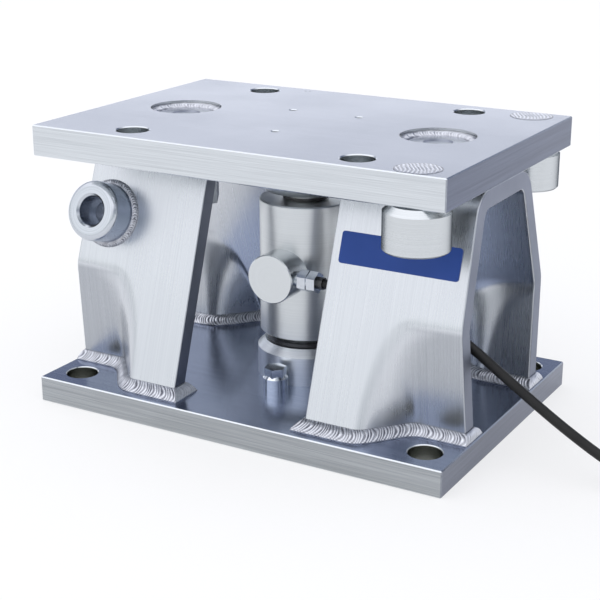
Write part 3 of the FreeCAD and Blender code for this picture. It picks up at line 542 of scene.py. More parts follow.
def weld_finish(name, tones, gloss):
    """Weld metal: bright crests, painted shade in the grooves between the ripples, a fine grain."""
    material, shader = new_finish(name, metallic=1.0)
    place = surface(shader)["Object"]
    crest = noted(shader, "crest")["Fac"]
    grain = effect(fine_grain, Place=place, Grains=WELD_GRAINS)["Grain"]
    patch = effect(handling_marks, Place=place, Patches=WELD_PATCHES)["Patch"]
    lit = combined("ADD", crest, spread(patch, 0, 1, *WELD_PATCH_SHADE))
    roughness = spread(grain, *GRAIN_RANGE, *gloss)
    feed(shader, blended(lit, *tones), roughness, grain, WELD_RELIEF)
    return material


def waves(place, *sines):
    """The sum at a place of sine waves, each given by its height, rate and start."""
    return sum(height * sin(place * rate + start) for height, rate, start in sines)


def ripple(distance, lane, bow=RIPPLE_BOW):
    """Height of the ripples at a distance along a bead and a share of its width, from 0 to 1."""
    wander = waves(distance, *RIPPLE_WANDER)
    turn = (distance - bow * (1 - (2 * lane - 1) ** 2)) / RIPPLE_PITCH + wander
    depth = RIPPLE_DEPTH + waves(distance, (*RIPPLE_CHANGE, RIPPLE_CHANGE_ACROSS * lane))
    return 1 - depth * cos(pi * turn) ** 2


def bead_section(crest, root, toe, distance, strength, bow):
    """A bead's closed section at one place, with how high each point lies on a ripple."""
    outward = (toe - root).normalized()
    normal = (outward + Vector((0, 0, 1))).normalized()
    section = []
    for lane in steps(0, 1, BEAD_LANES):
        rise = ripple(distance, lane, bow)
        fade = min(1, BEAD_FADE * lane * (1 - lane))
        lift = BEAD_CROWN * 4 * lane * (1 - lane) + RIPPLE_HEIGHT * strength * fade * (rise - 0.5)
        section.append((crest.lerp(toe, lane) + normal * lift, 1 - strength * (1 - rise)))
    section.append((root.copy(), 0.0))
    return section


def bead_piece(name, points, heights, faces, material):
    """A piece of weld metal, with how high each of its points lies on a ripple."""
    piece = new_piece(name, points, faces, material)
    note(piece, "crest", heights)
    return piece


def ring_bead(name, sections, material):
    """A ring of weld metal swept through closed sections of points and heights."""
    points = [point for section in sections for point, _ in section]
    heights = [height for section in sections for _, height in section]
    faces = swept_faces(len(sections), len(sections[0]), True)
    return bead_piece(name, points, heights, faces, material)


def foot_sections(bow):
    """The bead round the right front foot, with y counted outward from the middle plane."""
    foot_z = arch_low.z
    crest_z = foot_z + FOOT_LEG
    first = arch_low.x
    last = outer_end(foot_z)
    rounding = [(FOOT_LEG * sin(turn), FOOT_LEG * cos(turn))
                for turn in steps(-pi / 2, pi / 2, TOE_ROUNDING_STEPS)]

    def toe_reach(x, depth, way):
        grown = [leg_reach(x + aside, foot_z, depth) + way * outward for aside, outward in rounding]
        return max(grown) if way > 0 else min(grown)

    def smooth_toe(x, depth, way):
        places = [x + aside for aside in steps(-TOE_SMOOTHING, TOE_SMOOTHING, TOE_SMOOTHING_STEPS)]
        near = [toe_reach(place, depth, way) for place in places]
        return sum(near) / len(near)

    def trio(x_crest, x_toe, depth, way):
        skin = -way * BEAD_SINK
        return (Vector((x_crest, leg_reach(x_crest, crest_z, depth) + skin, crest_z)),
                Vector((x_crest, leg_reach(x_crest, foot_z, depth) + skin, foot_z)),
                Vector((x_toe, smooth_toe(x_toe, depth, way), foot_z)))

    turn = CORNER_TURN * FOOT_LEG
    outer_breaks = [(first, first - FOOT_LEG), (DENT_EDGE, DENT_EDGE + turn),
                    (DENT_CREASE, DENT_CREASE + turn), (last, last + FOOT_OUTER_LEG)]
    bend = CORNER_TURN * ARCH_THICK
    inner_breaks = [(last, last + FOOT_OUTER_LEG), (DENT_CREASE - bend, DENT_CREASE - bend - turn),
                    (DENT_EDGE - bend, DENT_EDGE - bend - turn), (first, first - FOOT_LEG)]
    trios = []
    for depth, way, breaks, end_strength in ((0.0, 1, outer_breaks, OUTER_END_RIPPLE),
                                             (ARCH_THICK, -1, inner_breaks, INNER_END_RIPPLE)):
        for start, end in zip(breaks, breaks[1:]):
            here = trio(*start, depth, way)
            there = trio(*end, depth, way)
            count = round(max((a - b).length for a, b in zip(here, there)) / BEAD_STEP)
            for share in steps(0, 1, count)[:-1]:
                places = [a + (b - a) * share for a, b in zip(start, end)]
                trios.append((*trio(*places, depth, way), 1.0))
        start = trio(*breaks[-1], depth, way)
        finish = trio(*breaks[-1], ARCH_THICK - depth, -way)
        count = round((start[2] - finish[2]).length / BEAD_STEP)
        for share in steps(0, 1, count)[:-1]:
            trios.append((*(a.lerp(b, share) for a, b in zip(start, finish)), end_strength))
    sections = []
    distance = 0
    before = (trios[0][0] + trios[0][2]) / 2
    for crest, root, toe, strength in trios:
        middle = (crest + toe) / 2
        distance += (middle - before).length
        before = middle
        sections.append(bead_section(crest, root, toe, distance, strength, bow))
    return sections


weld_metal = weld_finish("weld_metal", WELD_GROOVE_SHADE_TONES, gloss=(0.26, 0.40))
for side, sign_x in SIDES.items():
    foot_bead = foot_sections(sign_x * RIPPLE_BOW)
    for end, sign_y in ENDS.items():
        carried = [[(Vector((sign_x * p.x, sign_y * p.y, p.z)), height) for p, height in section]
                   for section in foot_bead]
        bead = ring_bead(f"{side}_{end}_foot_bead", carried, weld_metal)
        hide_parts(f"{side}_{end}_foot_weld")

# Socket bosses: turned steel bosses, round nosed, with a stepped bore for a stay or jacking pin.
# Each stands square on a leg of the left arch and is held by a ring of fillet weld.
TURNED_TONES = ((0.52, 0.55, 0.59), (0.62, 0.65, 0.69))
TURNED_PATCHES = 35.0
LATHE_DRIFT = 12.0
# Painted reflection on the bosses' round sides, painted shade in their bores.
BOSS_SIDE_PAINTED_REFLECTION = (0.36, 0.41, 0.50)
BOSS_SIDE_FACING = (0.5, 0.1)
BORE_END_PAINTED_SHADE = (0.46, 0.50, 0.56)
BORE_WALL_PAINTED_SHADE = (0.25, 0.275, 0.33)
BOSS_BORE = 0.0102
DIMPLE_SHADE_LINE = 0.0004
BOSS_X = -0.1212
BOSS_Z = 0.1244
BOSS_RADIUS = 0.020
BOSS_LEG = 0.003
BOSS_CROWN = 0.0004
BOSS_FADE = 5
BOSS_LANES = 7
BOSS_RIPPLE_RATE = 1.25


def make_lathe_marks():
    """Fine rings left by turning about an axis, as rings per metre."""
    tree, given = effect_group(
        "lathe_marks", Place="Vector", Centre="Vector", Axis="Vector", Rings="Float")
    arm = vectors("SUBTRACT", given["Place"], given["Centre"])
    height = vectors("DOT_PRODUCT", arm, given["Axis"])
    radius = vectors("LENGTH", vectors("CROSS_PRODUCT", arm, given["Axis"]))
    ring = put(tree, "CombineXYZ", {"X": height, "Y": radius}).outputs[0]
    ring = put(tree, "VectorMath", {0: ring, "Scale": given["Rings"]}, operation="SCALE").outputs[0]
    drift = put(tree, "VectorMath", {0: arm, "Scale": LATHE_DRIFT}, operation="SCALE").outputs[0]
    fine = noise(vectors("ADD", ring, drift), scale=1.0, detail=3.0)
    return give(tree, Streak=spread(fine, *GRAIN_RANGE), Height=fine, Radius=radius)


lathe_marks = make_lathe_marks()


def turned_finish(name, centre, axis=(0, 0, 1), tones=TURNED_TONES, gloss=(0.16, 0.28),
                  rings=2200.0, relief=0.00001, bore=0.0, dimple=0.0, **constants):
    """Turned steel with rings about an axis.

    A bored piece has a painted reflection, darker and bluer, on its round side, and painted shade
    in the bore.
    A dimpled one has a line of painted shade at the dimple's rim.
    """
    material, shader = new_finish(name, metallic=1.0, **constants)
    coordinates = surface(shader)
    place = coordinates["Object"]
    lathe = effect(lathe_marks, Place=place, Centre=centre, Axis=axis, Rings=rings)
    patch = effect(handling_marks, Place=place, Patches=TURNED_PATCHES)["Patch"]
    wear = averaged(lathe["Streak"], patch)
    colour = blended(lathe["Streak"], *tones)
    if bore:
        # Painted reflection on the round side, painted shade in the bore.
        facing = vectors("DOT_PRODUCT", coordinates["Normal"], axis)
        on_side = spread(facing, *BOSS_SIDE_FACING)
        inside = blended(on_side, BORE_END_PAINTED_SHADE, BORE_WALL_PAINTED_SHADE)
        colour = blended(on_side, colour, BOSS_SIDE_PAINTED_REFLECTION)
        colour = blended(combined("LESS_THAN", lathe["Radius"], bore), colour, inside)
    # Painted shade: a dark line at the dimple's rim.
    if dimple:
        from_rim = combined("ABSOLUTE", combined("SUBTRACT", lathe["Radius"], dimple))
        on_line = combined("LESS_THAN", from_rim, DIMPLE_SHADE_LINE)
        colour = blended(on_line, colour, tones[0])
    feed(shader, colour, spread(wear, 0, 1, *gloss), lathe["Height"], relief)
    return material


def boss_bead(end, sign, foot, axis):
    """The ring of weld round a boss, cut short where the leg ends."""
    upward = Vector((0, -sign * sin(LEAN), cos(LEAN)))
    room = BOSS_X + outer_end(BOSS_Z)
    count = round(tau * (BOSS_RADIUS + BOSS_LEG) / BEAD_STEP)
    sections = []
    for k in range(count):
        turn = tau * k / count
        across = Vector((cos(turn), 0, 0)) + upward * sin(turn)
        leg = BOSS_LEG
        if cos(turn) < 0:
            leg = min(leg, max(room / -cos(turn) - BOSS_RADIUS, BEAD_SINK))
        section = []
        distance = turn * (BOSS_RADIUS + BOSS_LEG / 2)
        for lane in steps(0, 1, BOSS_LANES):
            rise = ripple(BOSS_RIPPLE_RATE * distance, lane)
            fade = min(1, BOSS_FADE * lane * (1 - lane))
            lift = BOSS_CROWN * 4 * lane * (1 - lane) + RIPPLE_HEIGHT * fade * (rise - 0.5)
            height = BOSS_LEG * (1 - lane) + lift
            radius = BOSS_RADIUS + leg * lane + lift
            section.append((foot + across * radius + axis * height, rise))
        section.append((foot + across * (BOSS_RADIUS - BEAD_SINK) - axis * BEAD_SINK, 0.0))
        section.append((foot + across * (BOSS_RADIUS - BEAD_SINK) + axis * BOSS_LEG, 0.0))
        sections.append(section)
    bead = ring_bead(end + "_boss_bead", sections, weld_metal)
    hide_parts(end + "_boss_weld")


for end, sign in ENDS.items():
    boss_axis = Vector((0, sign * cos(LEAN), sin(LEAN)))
    boss_foot = Vector((BOSS_X, sign * leg_face(BOSS_Z), BOSS_Z))
    boss_steel = turned_finish(end + "_boss_steel", boss_foot, boss_axis, bore=BOSS_BORE)
    coat(boss_steel, end + "_socket_boss")
    boss_bead(end, sign, boss_foot, boss_axis)

# Hexagon head pin: a short steel pin turned bright from hexagon bar, with a chamfered collar.
# It is pressed into the base plate in front of the load cell.
PIN_TONES = ((0.70, 0.74, 0.79), (0.82, 0.86, 0.90))


def node_middle(node):
    """The middle of a CAD node's box."""
    low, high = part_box(node)
    return (low + high) / 2


pin_steel = turned_finish("pin_steel", node_middle("hex_head_pin"), tones=PIN_TONES,
                          gloss=(0.10, 0.18))
coat(pin_steel, "hex_head_pin")

# Receivers: the turned steel cups that the load cell's two ends sit in, with rubber seals.
# The lower one stands on the base plate, the upper one's flange is held by three screws from below.
SEAL_TONES = ((0.012, 0.012, 0.013), (0.03, 0.03, 0.032))
RECEIVER_TONES = ((0.66, 0.69, 0.72), (0.76, 0.79, 0.82))
receiver_steel = turned_finish("receiver_steel", (0, 0, 0), tones=RECEIVER_TONES,
                               gloss=(0.30, 0.40))
coat(receiver_steel, "lower_receiver", "upper_receiver", "receiver_screws")


def moulded_finish(name, tones, gloss=(0.34, 0.5), grains=2200.0, patches=60.0, relief=0.00003,
                   **constants):
    """Moulded rubber, plastic or print with a fine grain and dusty patches."""
    material, shader = new_finish(name, **constants)
    place = surface(shader)["Object"]
    grain = effect(fine_grain, Place=place, Grains=grains)["Grain"]
    patch = effect(handling_marks, Place=place, Patches=patches)["Patch"]
    roughness = spread(grain, *GRAIN_RANGE, *gloss)
    feed(shader, blended(patch, *tones), roughness, grain, relief)
    return material


coat(moulded_finish("seal_rubber_black", SEAL_TONES, coat_weight=0.6, coat_roughness=0.15),
     "lower_seal", "upper_seal", "gland_insert")

# Load cell: a welded stainless can, fine turned and half polished, round the loaded column.
# A round block on its front takes the cable, through a gland of two hexagons.
CELL_TONES = ((0.60, 0.625, 0.635), (0.66, 0.685, 0.695))
CELL_RELIEF = 0.000004
cell_steel = turned_finish("cell_steel_turned", (0, 0, 0), tones=CELL_TONES, gloss=(0.30, 0.38),
                           rings=2800.0, relief=CELL_RELIEF)
coat(cell_steel, "load_cell_housing", "load_cell_column")
entry_steel = turned_finish("entry_steel", node_middle("cable_entry_block"), axis=(0, 1, 0),
                            tones=CELL_TONES, gloss=(0.2, 0.28))
coat(entry_steel, "cable_entry_block")
gland_steel = turned_finish("gland_steel", node_middle("cable_gland"), axis=(1, 0, 0),
                            gloss=(0.10, 0.18))
coat(gland_steel, "cable_gland")

# Top plate: thick steel plate for the vessel's foot, ground flat and brushed along its length.
# It rests on the load cell through the upper receiver.
PLATE_SIDES = ((0.51, 0.54, 0.56), (0.77, 0.80, 0.82))
# Painted shade: the top plate's end faces are coloured a dark blue-grey.
PLATE_ENDS_PAINTED_SHADE = ((0.082, 0.096, 0.142), (0.165, 0.19, 0.262))
PLATE_TOP = ((0.54, 0.56, 0.62), (0.71, 0.73, 0.77))
RECESS_GREY = (0.60, 0.62, 0.63)
BORE_BRIGHT = (0.675, 0.705, 0.72)
STUD_RECESS = 0.0243
TOP_HOLES = [(0.080, 0.080, BOLT_HOLE, BORE_BRIGHT), (stud_x, 0, STUD_RECESS, RECESS_GREY)]
top_steel = plate_finish("top_plate_steel", PLATE_SIDES, PLATE_ENDS_PAINTED_SHADE, PLATE_TOP, TOP_HOLES,
                         gloss=(0.18, 0.28))
coat(top_steel, "top_plate")
plate_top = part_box("top_plate")[1].z

# Hold-downs: headed steel studs welded into holes of the top plate, hanging through the arches.
# A zinc plated washer and nut under each arch's top keep the plate from lifting.
ZINC_TONES = ((0.42, 0.44, 0.47), (0.62, 0.64, 0.67))
ZINC_GLOSS = (0.28, 0.45)
ZINC_SPANGLES = 500.0
ZINC_PATCHES = 60.0
ZINC_RELIEF = 0.00002
STUD_HEAD = 0.0185
STUD_DIMPLE = 0.0093
STUD_TOP_DEPTH = 0.004
STUD_STEP = 0.0009
STUD_WELD = 0.024
STUD_WELD_SINK = 0.0016
STUD_WELD_DEPTH = 0.0095
STUD_CROWN = 0.0005
STUD_WAVES = ((0.00015, 9, 0), (0.0001, 23, 1))
STUD_LANES = 9
STUD_FADE = 5
STUD_LEAN = 0.4
STUD_INNER_RIM = 4
STUD_OUTER_RIM = 8
STUD_GROOVE_LEVEL = 0.45


def zinc_finish():
    """Zinc plating: a soft spangle in colour and gloss."""
    material, shader = new_finish("zinc_plate", metallic=1.0)
    place = surface(shader)["Object"]
    spangles = {"Vector": place, "Scale": ZINC_SPANGLES}
    spangle = put(shader.id_data, "TexVoronoi", spangles).outputs["Distance"]
    patch = effect(handling_marks, Place=place, Patches=ZINC_PATCHES)["Patch"]
    roughness = spread(spangle, 0, 1, *ZINC_GLOSS)
    feed(shader, blended(patch, *ZINC_TONES), roughness, spangle, ZINC_RELIEF)
    return material


def stud_bead(side, sign):
    """The ring of weld in the stud's prepared hole, a little below the plate's face."""
    count = round(tau * STUD_WELD / BEAD_STEP)
    inner_z = plate_top - STUD_TOP_DEPTH - STUD_STEP
    outer_z = plate_top - STUD_WELD_SINK
    sections = []
    for k in range(count):
        turn = tau * k / count
        across = Vector((cos(turn), sin(turn), 0))
        crown = STUD_CROWN + waves(turn, *STUD_WAVES)
        section = []
        for lane in steps(0, 1, STUD_LANES):
            rise = ripple(turn * STUD_WELD, lane)
            lift = min(1, STUD_FADE * lane * (1 - lane)) * (crown + RIPPLE_HEIGHT * (rise - 0.5))
            radius = STUD_HEAD - BEAD_SINK + (STUD_WELD - STUD_HEAD) * lane - STUD_LEAN * lift
            height = inner_z + (outer_z - inner_z) * lane + lift
            # Painted shade: the bead darkens towards both its edges and in the ripples' grooves.
            rim = min(1, STUD_INNER_RIM * lane, STUD_OUTER_RIM * (1 - lane))
            level = rim * (STUD_GROOVE_LEVEL + (1 - STUD_GROOVE_LEVEL) * rise)
            section.append((across * radius + Vector((sign * stud_x, 0, height)), level))
        low = Vector((sign * stud_x, 0, plate_top - STUD_WELD_DEPTH))
        section.append((across * (STUD_HEAD - BEAD_SINK) + low, 0.0))
        sections.append(section)
    bead = ring_bead(side + "_stud_bead", sections, weld_metal)
    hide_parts(side + "_stud_weld")


zinc_plate = zinc_finish()
for side, sign in SIDES.items():
    stud_axis = (sign * stud_x, 0, 0)
    stud_steel = turned_finish(side + "_stud_steel", stud_axis, tones=PLATE_TOP, dimple=STUD_DIMPLE)
    coat(stud_steel, side + "_hold_down_stud")
    coat(zinc_plate, side + "_hold_down_washer", side + "_hold_down_nut")
    stud_bead(side, sign)

# Stop posts: short turned steel posts under the top plate's right corners, beside the arch.
# Each has a spigot in the plate, held above by a plug weld in arcs of ripples.
# Painted shade: a near-black edge tint darkens the posts towards their outline.
POST_EDGE_SHADE_TINT = (0.05, 0.06, 0.08, 1)
# Painted highlight on the plug weld's near-white crests, painted shade in its grooves and along its
# rim.
PLUG_SHADE_AND_HIGHLIGHT_TONES = ((0.16, 0.16, 0.185), (0.97, 0.97, 0.99))
PLUG_CAP = 0.0141
PLUG_CROWN = 0.00004
PLUG_LIFT = 0.00004
PLUG_FIRST_RING = 0.02
PLUG_RINGS = 64
PLUG_SPOKES = 200
PLUG_TURN = radians(30)
PLUG_PITCH = 0.0022
PLUG_BOW = 5
PLUG_WANDER = (0.4, 400, 0)
PLUG_SWAY = (0.5, 150)
PLUG_SWAY_ACROSS = 420
PLUG_RIPPLE = 0.4
PLUG_FADE = 8
PLUG_RIM = 14
PLUG_GROOVE_LEVEL = 0.5
PLATE_EDGE_BREAK = 0.0007


def plug_bead(end, centre, material):
    """A plug weld: a nearly flat cap of bowed ripples, lapping over its hole."""
    plug_low, plug_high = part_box(end + "_post_plug_weld")
    hole = (plug_high.x - plug_low.x) / 2
    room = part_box("top_plate")[1].y - PLATE_EDGE_BREAK - abs(centre.y)
    rings = [(share, None) for share in steps(PLUG_FIRST_RING, 1, PLUG_RINGS - 1)]
    rings.append((hole / PLUG_CAP, plate_top - BEAD_SINK))
    rings.append(((hole - plate_top + plug_low.z) / PLUG_CAP, plug_low.z))
    points = []
    heights = []
    for ring, level in rings:
        for k in range(PLUG_SPOKES):
            turn = tau * k / PLUG_SPOKES
            outward = copysign(1, centre.y) * sin(turn)
            reach = ring * min(PLUG_CAP, room / max(outward, room / PLUG_CAP))
            x = reach * cos(turn)
            y = reach * sin(turn)
            across = x * cos(PLUG_TURN) + y * sin(PLUG_TURN)
            along = y * cos(PLUG_TURN) - x * sin(PLUG_TURN)
            wander = waves(along, PLUG_WANDER, (*PLUG_SWAY, PLUG_SWAY_ACROSS * across))
            rise = sin(pi * (across + PLUG_BOW * along ** 2) / PLUG_PITCH + wander) ** 2
            swell = PLUG_RIPPLE * RIPPLE_HEIGHT * rise * min(1, PLUG_FADE * (1 - ring))
            swell += PLUG_CROWN * (1 - ring ** 2)
            crest = PLUG_GROOVE_LEVEL + (1 - PLUG_GROOVE_LEVEL) * rise
            on_cap = level is None
            z = plate_top + PLUG_LIFT + swell if on_cap else level
            points.append(Vector((centre.x + x, centre.y + y, z)))
            # Painted shade in the grooves and towards the cap's rim.
            heights.append(crest * min(1, PLUG_RIM * (1 - ring)) if on_cap else 0.0)
    faces = capped_faces(len(rings), PLUG_SPOKES)
    bead = bead_piece(end + "_plug_bead", points, heights, faces, material)
    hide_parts(end + "_post_plug_weld")


plug_metal = weld_finish("plug_weld_metal", PLUG_SHADE_AND_HIGHLIGHT_TONES, gloss=(0.16, 0.28))
for end in ENDS:
    post_centre = node_middle(end + "_stop_post")
    post_steel = turned_finish(end + "_post_steel", post_centre, tones=CELL_TONES,
                               gloss=(0.22, 0.32), relief=CELL_RELIEF, specular_tint=POST_EDGE_SHADE_TINT)
    coat(post_steel, end + "_stop_post")
    plug_bead(end, post_centre, plug_metal)

# Nameplate: a thin metal plate with rounded corners, printed a satin blue and left blank.
# It lies flat on the right arch's front leg.
NAME_TONES = ((0.028, 0.070, 0.275), (0.034, 0.079, 0.305))
nameplate_print = moulded_finish("nameplate_print", NAME_TONES, gloss=(0.35, 0.5), grains=900.0,
                                 patches=40.0, relief=0.00001, specular_ior_level=0.15)
coat(nameplate_print, "nameplate")

# Cable: the load cell's signal lead, a smooth black sheath over its screened cores.
# It leaves the gland, runs through the right arch down to the floor and ends in stripped cores.
# The length past the view is wound into a round coil of five columns and four layers, tied once.
CABLE_DIAMETER = 0.0063
SHEATH_TONES = ((0.008, 0.008, 0.008), (0.016, 0.016, 0.015))
cable_exit = Vector((0.0306, -0.037, 0.095))
cable_route = [Vector(place) for place in (
    cable_exit,
    (0.060, -0.037, 0.095),
    (0.095, -0.037, 0.0915),
    (0.130, -0.037, 0.076),
    (0.165, -0.037, 0.0525),
    (0.200, -0.037, 0.030),
    (0.232, -0.037, 0.013),
    (0.262, -0.0375, 0.0045),
    (0.290, -0.037, 0.0042),
)]
COIL_COLUMNS = 5
COIL_LAYERS = 4
COIL_POINTS = 16
COIL_STEP = 360 / COIL_POINTS
COIL_ENTRY = 270
SHIFT_ANGLE = 60
INWARD_SHIFT = 190
OUTWARD_SHIFT = 70
INNER_CLIMB = 130
OUTER_CLIMB = 10
TAIL_START = 330
TAIL_ROLL = 50
TAIL_END = 25
coil_low, coil_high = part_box("cable_coil")
coil_centre = (coil_low + coil_high) / 2


def next_angle(after, zone):
    """The first angle past another at which the winding comes to a zone of the coil."""
    return zone + 360 * ceil((after - zone) / 360)


def coil_winding():
    """The winding as (angle, radius, height), turn beside turn and layer on layer."""
    radius = (coil_high.x - coil_low.x - CABLE_DIAMETER) / 2
    height = coil_low.z + CABLE_DIAMETER / 2
    stations = [(COIL_ENTRY, radius, height)]

    def move(zone, radius_after, height_after):
        start = next_angle(stations[-1][0], zone)
        stations.append((start, *stations[-1][1:]))
        stations.append((start + SHIFT_ANGLE, radius_after, height_after))

    for layer in range(COIL_LAYERS):
        goes_inward = layer % 2 == 0
        for _ in range(COIL_COLUMNS - 1):
            radius += -CABLE_DIAMETER if goes_inward else CABLE_DIAMETER
            move(INWARD_SHIFT if goes_inward else OUTWARD_SHIFT, radius, height)
        if layer < COIL_LAYERS - 1:
            height += CABLE_DIAMETER
            move(INNER_CLIMB if goes_inward else OUTER_CLIMB, radius, height)

    tail_start = next_angle(stations[-1][0], TAIL_START)
    for share in (0, 1 / 3, 2 / 3, 1):
        roll = share * pi / 2
        stations.append((
            tail_start + share * TAIL_ROLL,
            radius - CABLE_DIAMETER * (1 - cos(roll)),
            height + CABLE_DIAMETER * sin(roll),
        ))
    stations.append((tail_start + TAIL_ROLL + TAIL_END, *stations[-1][1:]))
    return stations


def on_coil(angle, radius, height):
    """A point of the coil."""
    turn = radians(angle)
    x = coil_centre.x + radius * cos(turn)
    y = coil_centre.y + radius * sin(turn)
    return Vector((x, y, height))


def coil_points(stations):
    """Control points of the winding, set out so that the curve itself has the winding's radius."""
    outset = 1 / cos(pi / COIL_POINTS)
    points = []
    angle = COIL_ENTRY + COIL_STEP / 2
    span = 0
    while angle <= stations[-1][0]:
        while stations[span + 1][0] < angle:
            span += 1
        (start, *before), (end, *after) = stations[span:span + 2]
        share = (angle - start) / (end - start)
        radius, height = (a + (b - a) * share for a, b in zip(before, after))
        points.append(on_coil(angle, radius * outset, height))
        angle += COIL_STEP
    return points + [on_coil(*stations[-1])]


winding = coil_winding()
cable_points = cable_route + coil_points(winding)
cable_curve = bpy.data.curves.new("cable_run", "CURVE")
cable_curve.dimensions = "3D"
cable_spline = cable_curve.splines.new("NURBS")
cable_spline.points.add(len(cable_points) - 1)
for control, point in zip(cable_spline.points, cable_points):
    control.co = (*point, 1)
cable_spline.order_u = 3
cable_spline.use_endpoint_u = True
cable_spline.resolution_u = 6
cable_curve.bevel_depth = CABLE_DIAMETER / 2
cable_curve.bevel_resolution = 4
cable_curve.use_fill_caps = True
sheath_black = moulded_finish("cable_sheath_black", SHEATH_TONES, specular_ior_level=0.3)
cable_curve.materials.append(sheath_black)
cable_run = placed("cable_run", cable_curve)
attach(cable_run, "root")
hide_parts("cable", "cable_coil", "cable_tail")

# Coil tie: a black nylon strap with a fine moulded grain.
# It is drawn tight round the wound cable and keeps the coil together.
TIE_TONES = ((0.015, 0.015, 0.016), (0.04, 0.04, 0.042))
coat(moulded_finish("tie_nylon_black", TIE_TONES), "coil_tie")

# Stripped end: six thin insulated cores fanned out of the cable's far end, its sheath cut back.
# Their tips are bared to the copper strands for the terminals.
CORE_COLOURS = [(0.42, 0.02, 0.02), (0.02, 0.02, 0.02), (0.02, 0.22, 0.06),
                (0.75, 0.75, 0.72), (0.02, 0.08, 0.40), (0.62, 0.46, 0.03)]
COPPER = (0.80, 0.42, 0.26)
CORE_DUST = (0.1, 0.1, 0.1)
CORE_DUST_SHARE = 0.25
CORE_GLOSS = (0.3, 0.45)
CORE_GRAINS = 1800.0
CORE_RELIEF = 0.00003
CORE_RADIUS = 0.00075
STRAND_RADIUS = 0.0005
CORE_CIRCLE = 0.0019
CORE_FAN = 0.0016
CORE_ROOT = 0.001
CORE_LENGTH = 0.029
BARE_LENGTH = 0.006
CORE_STEPS = 8
CORE_SIDES = 12


def core_finish():
    """Coloured insulation, and copper where a core is bare."""
    material, shader = new_finish("core_insulation")
    place = surface(shader)["Object"]
    own_colour = noted(shader, "core_colour")["Color"]
    bare = noted(shader, "bare")["Fac"]
    grain = effect(fine_grain, Place=place, Grains=CORE_GRAINS)["Grain"]
    dust = spread(grain, *GRAIN_RANGE, 0, CORE_DUST_SHARE)
    roughness = spread(grain, *GRAIN_RANGE, *CORE_GLOSS)
    feed(shader, blended(dust, own_colour, CORE_DUST), roughness, grain, CORE_RELIEF)
    shader.id_data.links.new(bare, shader.inputs["Metallic"])
    return material


def stripped_cores(material):
    """The six cores as closed tubes, stepped down to the strands."""
    end = on_coil(*winding[-1])
    turn = radians(winding[-1][0])
    way = Vector((-sin(turn), cos(turn), 0))
    inward = Vector((-cos(turn), -sin(turn), 0))
    stripped = CORE_LENGTH - BARE_LENGTH
    profile = [(-CORE_ROOT, CORE_RADIUS, 0)]
    profile += [(along, CORE_RADIUS, 0) for along in steps(0, stripped, CORE_STEPS)]
    profile += [(stripped, STRAND_RADIUS, 1), (CORE_LENGTH, STRAND_RADIUS, 1)]

    def aside(angle):
        return inward * cos(angle) + Vector((0, 0, sin(angle)))

    points = []
    faces = []
    colours = []
    bares = []
    for core, colour in enumerate(CORE_COLOURS):
        core_way = aside(tau * core / len(CORE_COLOURS))
        first = len(points)
        for along, radius, bare in profile:
            spacing = CORE_CIRCLE + CORE_FAN * (max(along, 0) / CORE_LENGTH) ** 2
            middle = end + way * along + core_way * spacing
            for k in range(CORE_SIDES):
                points.append(middle + aside(tau * k / CORE_SIDES) * radius)
                colours += [*(COPPER if bare else colour), 1]
                bares.append(bare)
        tube = capped_faces(len(profile), CORE_SIDES)
        faces += [tuple(first + k for k in face) for face in tube]
    piece = new_piece("stripped_cores", points, faces, material)
    own_colour = piece.data.attributes.new("core_colour", "FLOAT_COLOR", "POINT")
    own_colour.data.foreach_set("color", colours)
    note(piece, "bare", bares)
    piece.data.set_sharp_from_angle(angle=SHARP_ANGLE)
    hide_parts("cable_leads")


stripped_cores(core_finish())

# Floor: a wide plain pale sheet that the module stands on.
# It shows as the photograph's white ground and keeps the module's soft shadow.
FLOOR_HALF = 6.0
FLOOR_WHITE = (0.97, 0.97, 0.965)
SEEN_WHITE = 0.62
MIRRORED_WHITE = 0.3


def floor_finish():
    """Matt white, partly shining by itself where it is seen or mirrored."""
    material, shader = new_finish("floor_white", roughness=0.9, specular_ior_level=0.0)
    shader.inputs["Base Color"].default_value = (*FLOOR_WHITE, 1)
    tree = shader.id_data
    ray = put(tree, "LightPath", {}).outputs
    seen = combined("MULTIPLY", ray["Is Camera Ray"], SEEN_WHITE)
    mirrored = combined("MAXIMUM", ray["Is Glossy Ray"], ray["Is Transmission Ray"])
    share = combined("MAXIMUM", seen, combined("MULTIPLY", mirrored, MIRRORED_WHITE))
    white = put(tree, "Emission", {"Color": (1, 1, 1), "Strength": 1.0}).outputs[0]
    mix = put(tree, "MixShader", {0: share, 1: shader.outputs[0], 2: white})
    tree.links.new(mix.outputs[0], tree.nodes["Material Output"].inputs["Surface"])
    return material


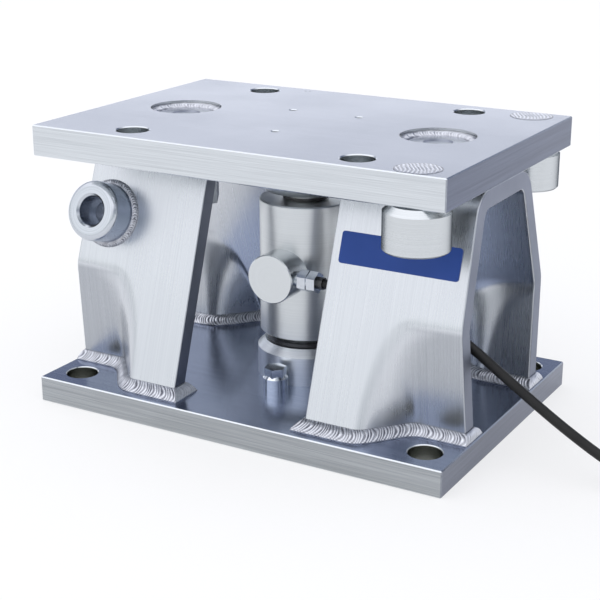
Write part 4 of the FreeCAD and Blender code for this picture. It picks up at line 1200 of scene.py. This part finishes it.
floor_mesh = bpy.data.meshes.new("floor")
floor_corners = [(x * FLOOR_HALF, y * FLOOR_HALF, 0)
                 for x, y in ((-1, -1), (1, -1), (1, 1), (-1, 1))]
floor_mesh.from_pydata(floor_corners, [], [(0, 1, 2, 3)])
floor_mesh.materials.append(floor_finish())
placed("floor", floor_mesh)

# Studio light: a pale wall all round at eye level, lavender behind, under a dim blue ceiling.
# A large soft box hangs overhead, a little to the front and left.
WALL_FRONT = (0.71, 0.75, 0.78)
WALL_BACK = (1.16, 1.20, 1.31)
CEILING = (0.17, 0.20, 0.29)
WALL_TURN = (-0.2, 0.3)
WALL_END = (0.14, 0.38)
SOFT_BOX = (-0.15, -0.30, 0.94)
SOFT_BOX_EDGE = cos(radians(74))
SOFT_BOX_CORE = cos(radians(40))
SOFT_BOX_LIGHT = (1.22, 1.20, 1.18)


def make_room():
    """The room's light by direction."""
    room = bpy.data.worlds.new("studio")
    room.use_nodes = True
    tree = room.node_tree
    direction = put(tree, "TexCoord", {}).outputs["Generated"]
    way = parts(direction)

    def soft_step(value, low, high):
        return spread(value, low, high, interpolation_type="SMOOTHSTEP")

    wall = blended(soft_step(way["Y"], *WALL_TURN), WALL_FRONT, WALL_BACK)
    light = blended(soft_step(way["Z"], *WALL_END), wall, CEILING)
    facing = vectors("DOT_PRODUCT", direction, SOFT_BOX)
    in_box = soft_step(facing, SOFT_BOX_EDGE, SOFT_BOX_CORE)
    light = blended(in_box, light, SOFT_BOX_LIGHT, blend_type="ADD", clamp_result=False)
    tree.links.new(light, tree.nodes["Background"].inputs["Color"])
    return room


bpy.context.scene.world = make_room()

# Camera: above the front right corner of the module, as in the photograph.
# Lens and place are fitted to the corners of the two plates there.
camera_data = bpy.data.cameras.new("camera")
camera_data.sensor_width = 36
camera_data.lens = 83.95
camera = placed("camera", camera_data)
camera_target = Vector((-0.00341, -0.00197, 0.06746))
camera.location = Vector((0.4451, -0.7791, 0.3709))
camera.rotation_mode = "QUATERNION"
camera.rotation_quaternion = (camera_target - camera.location).to_track_quat("-Z", "Y")
bpy.context.scene.camera = camera

bpy.context.scene.view_settings.view_transform = "Standard"
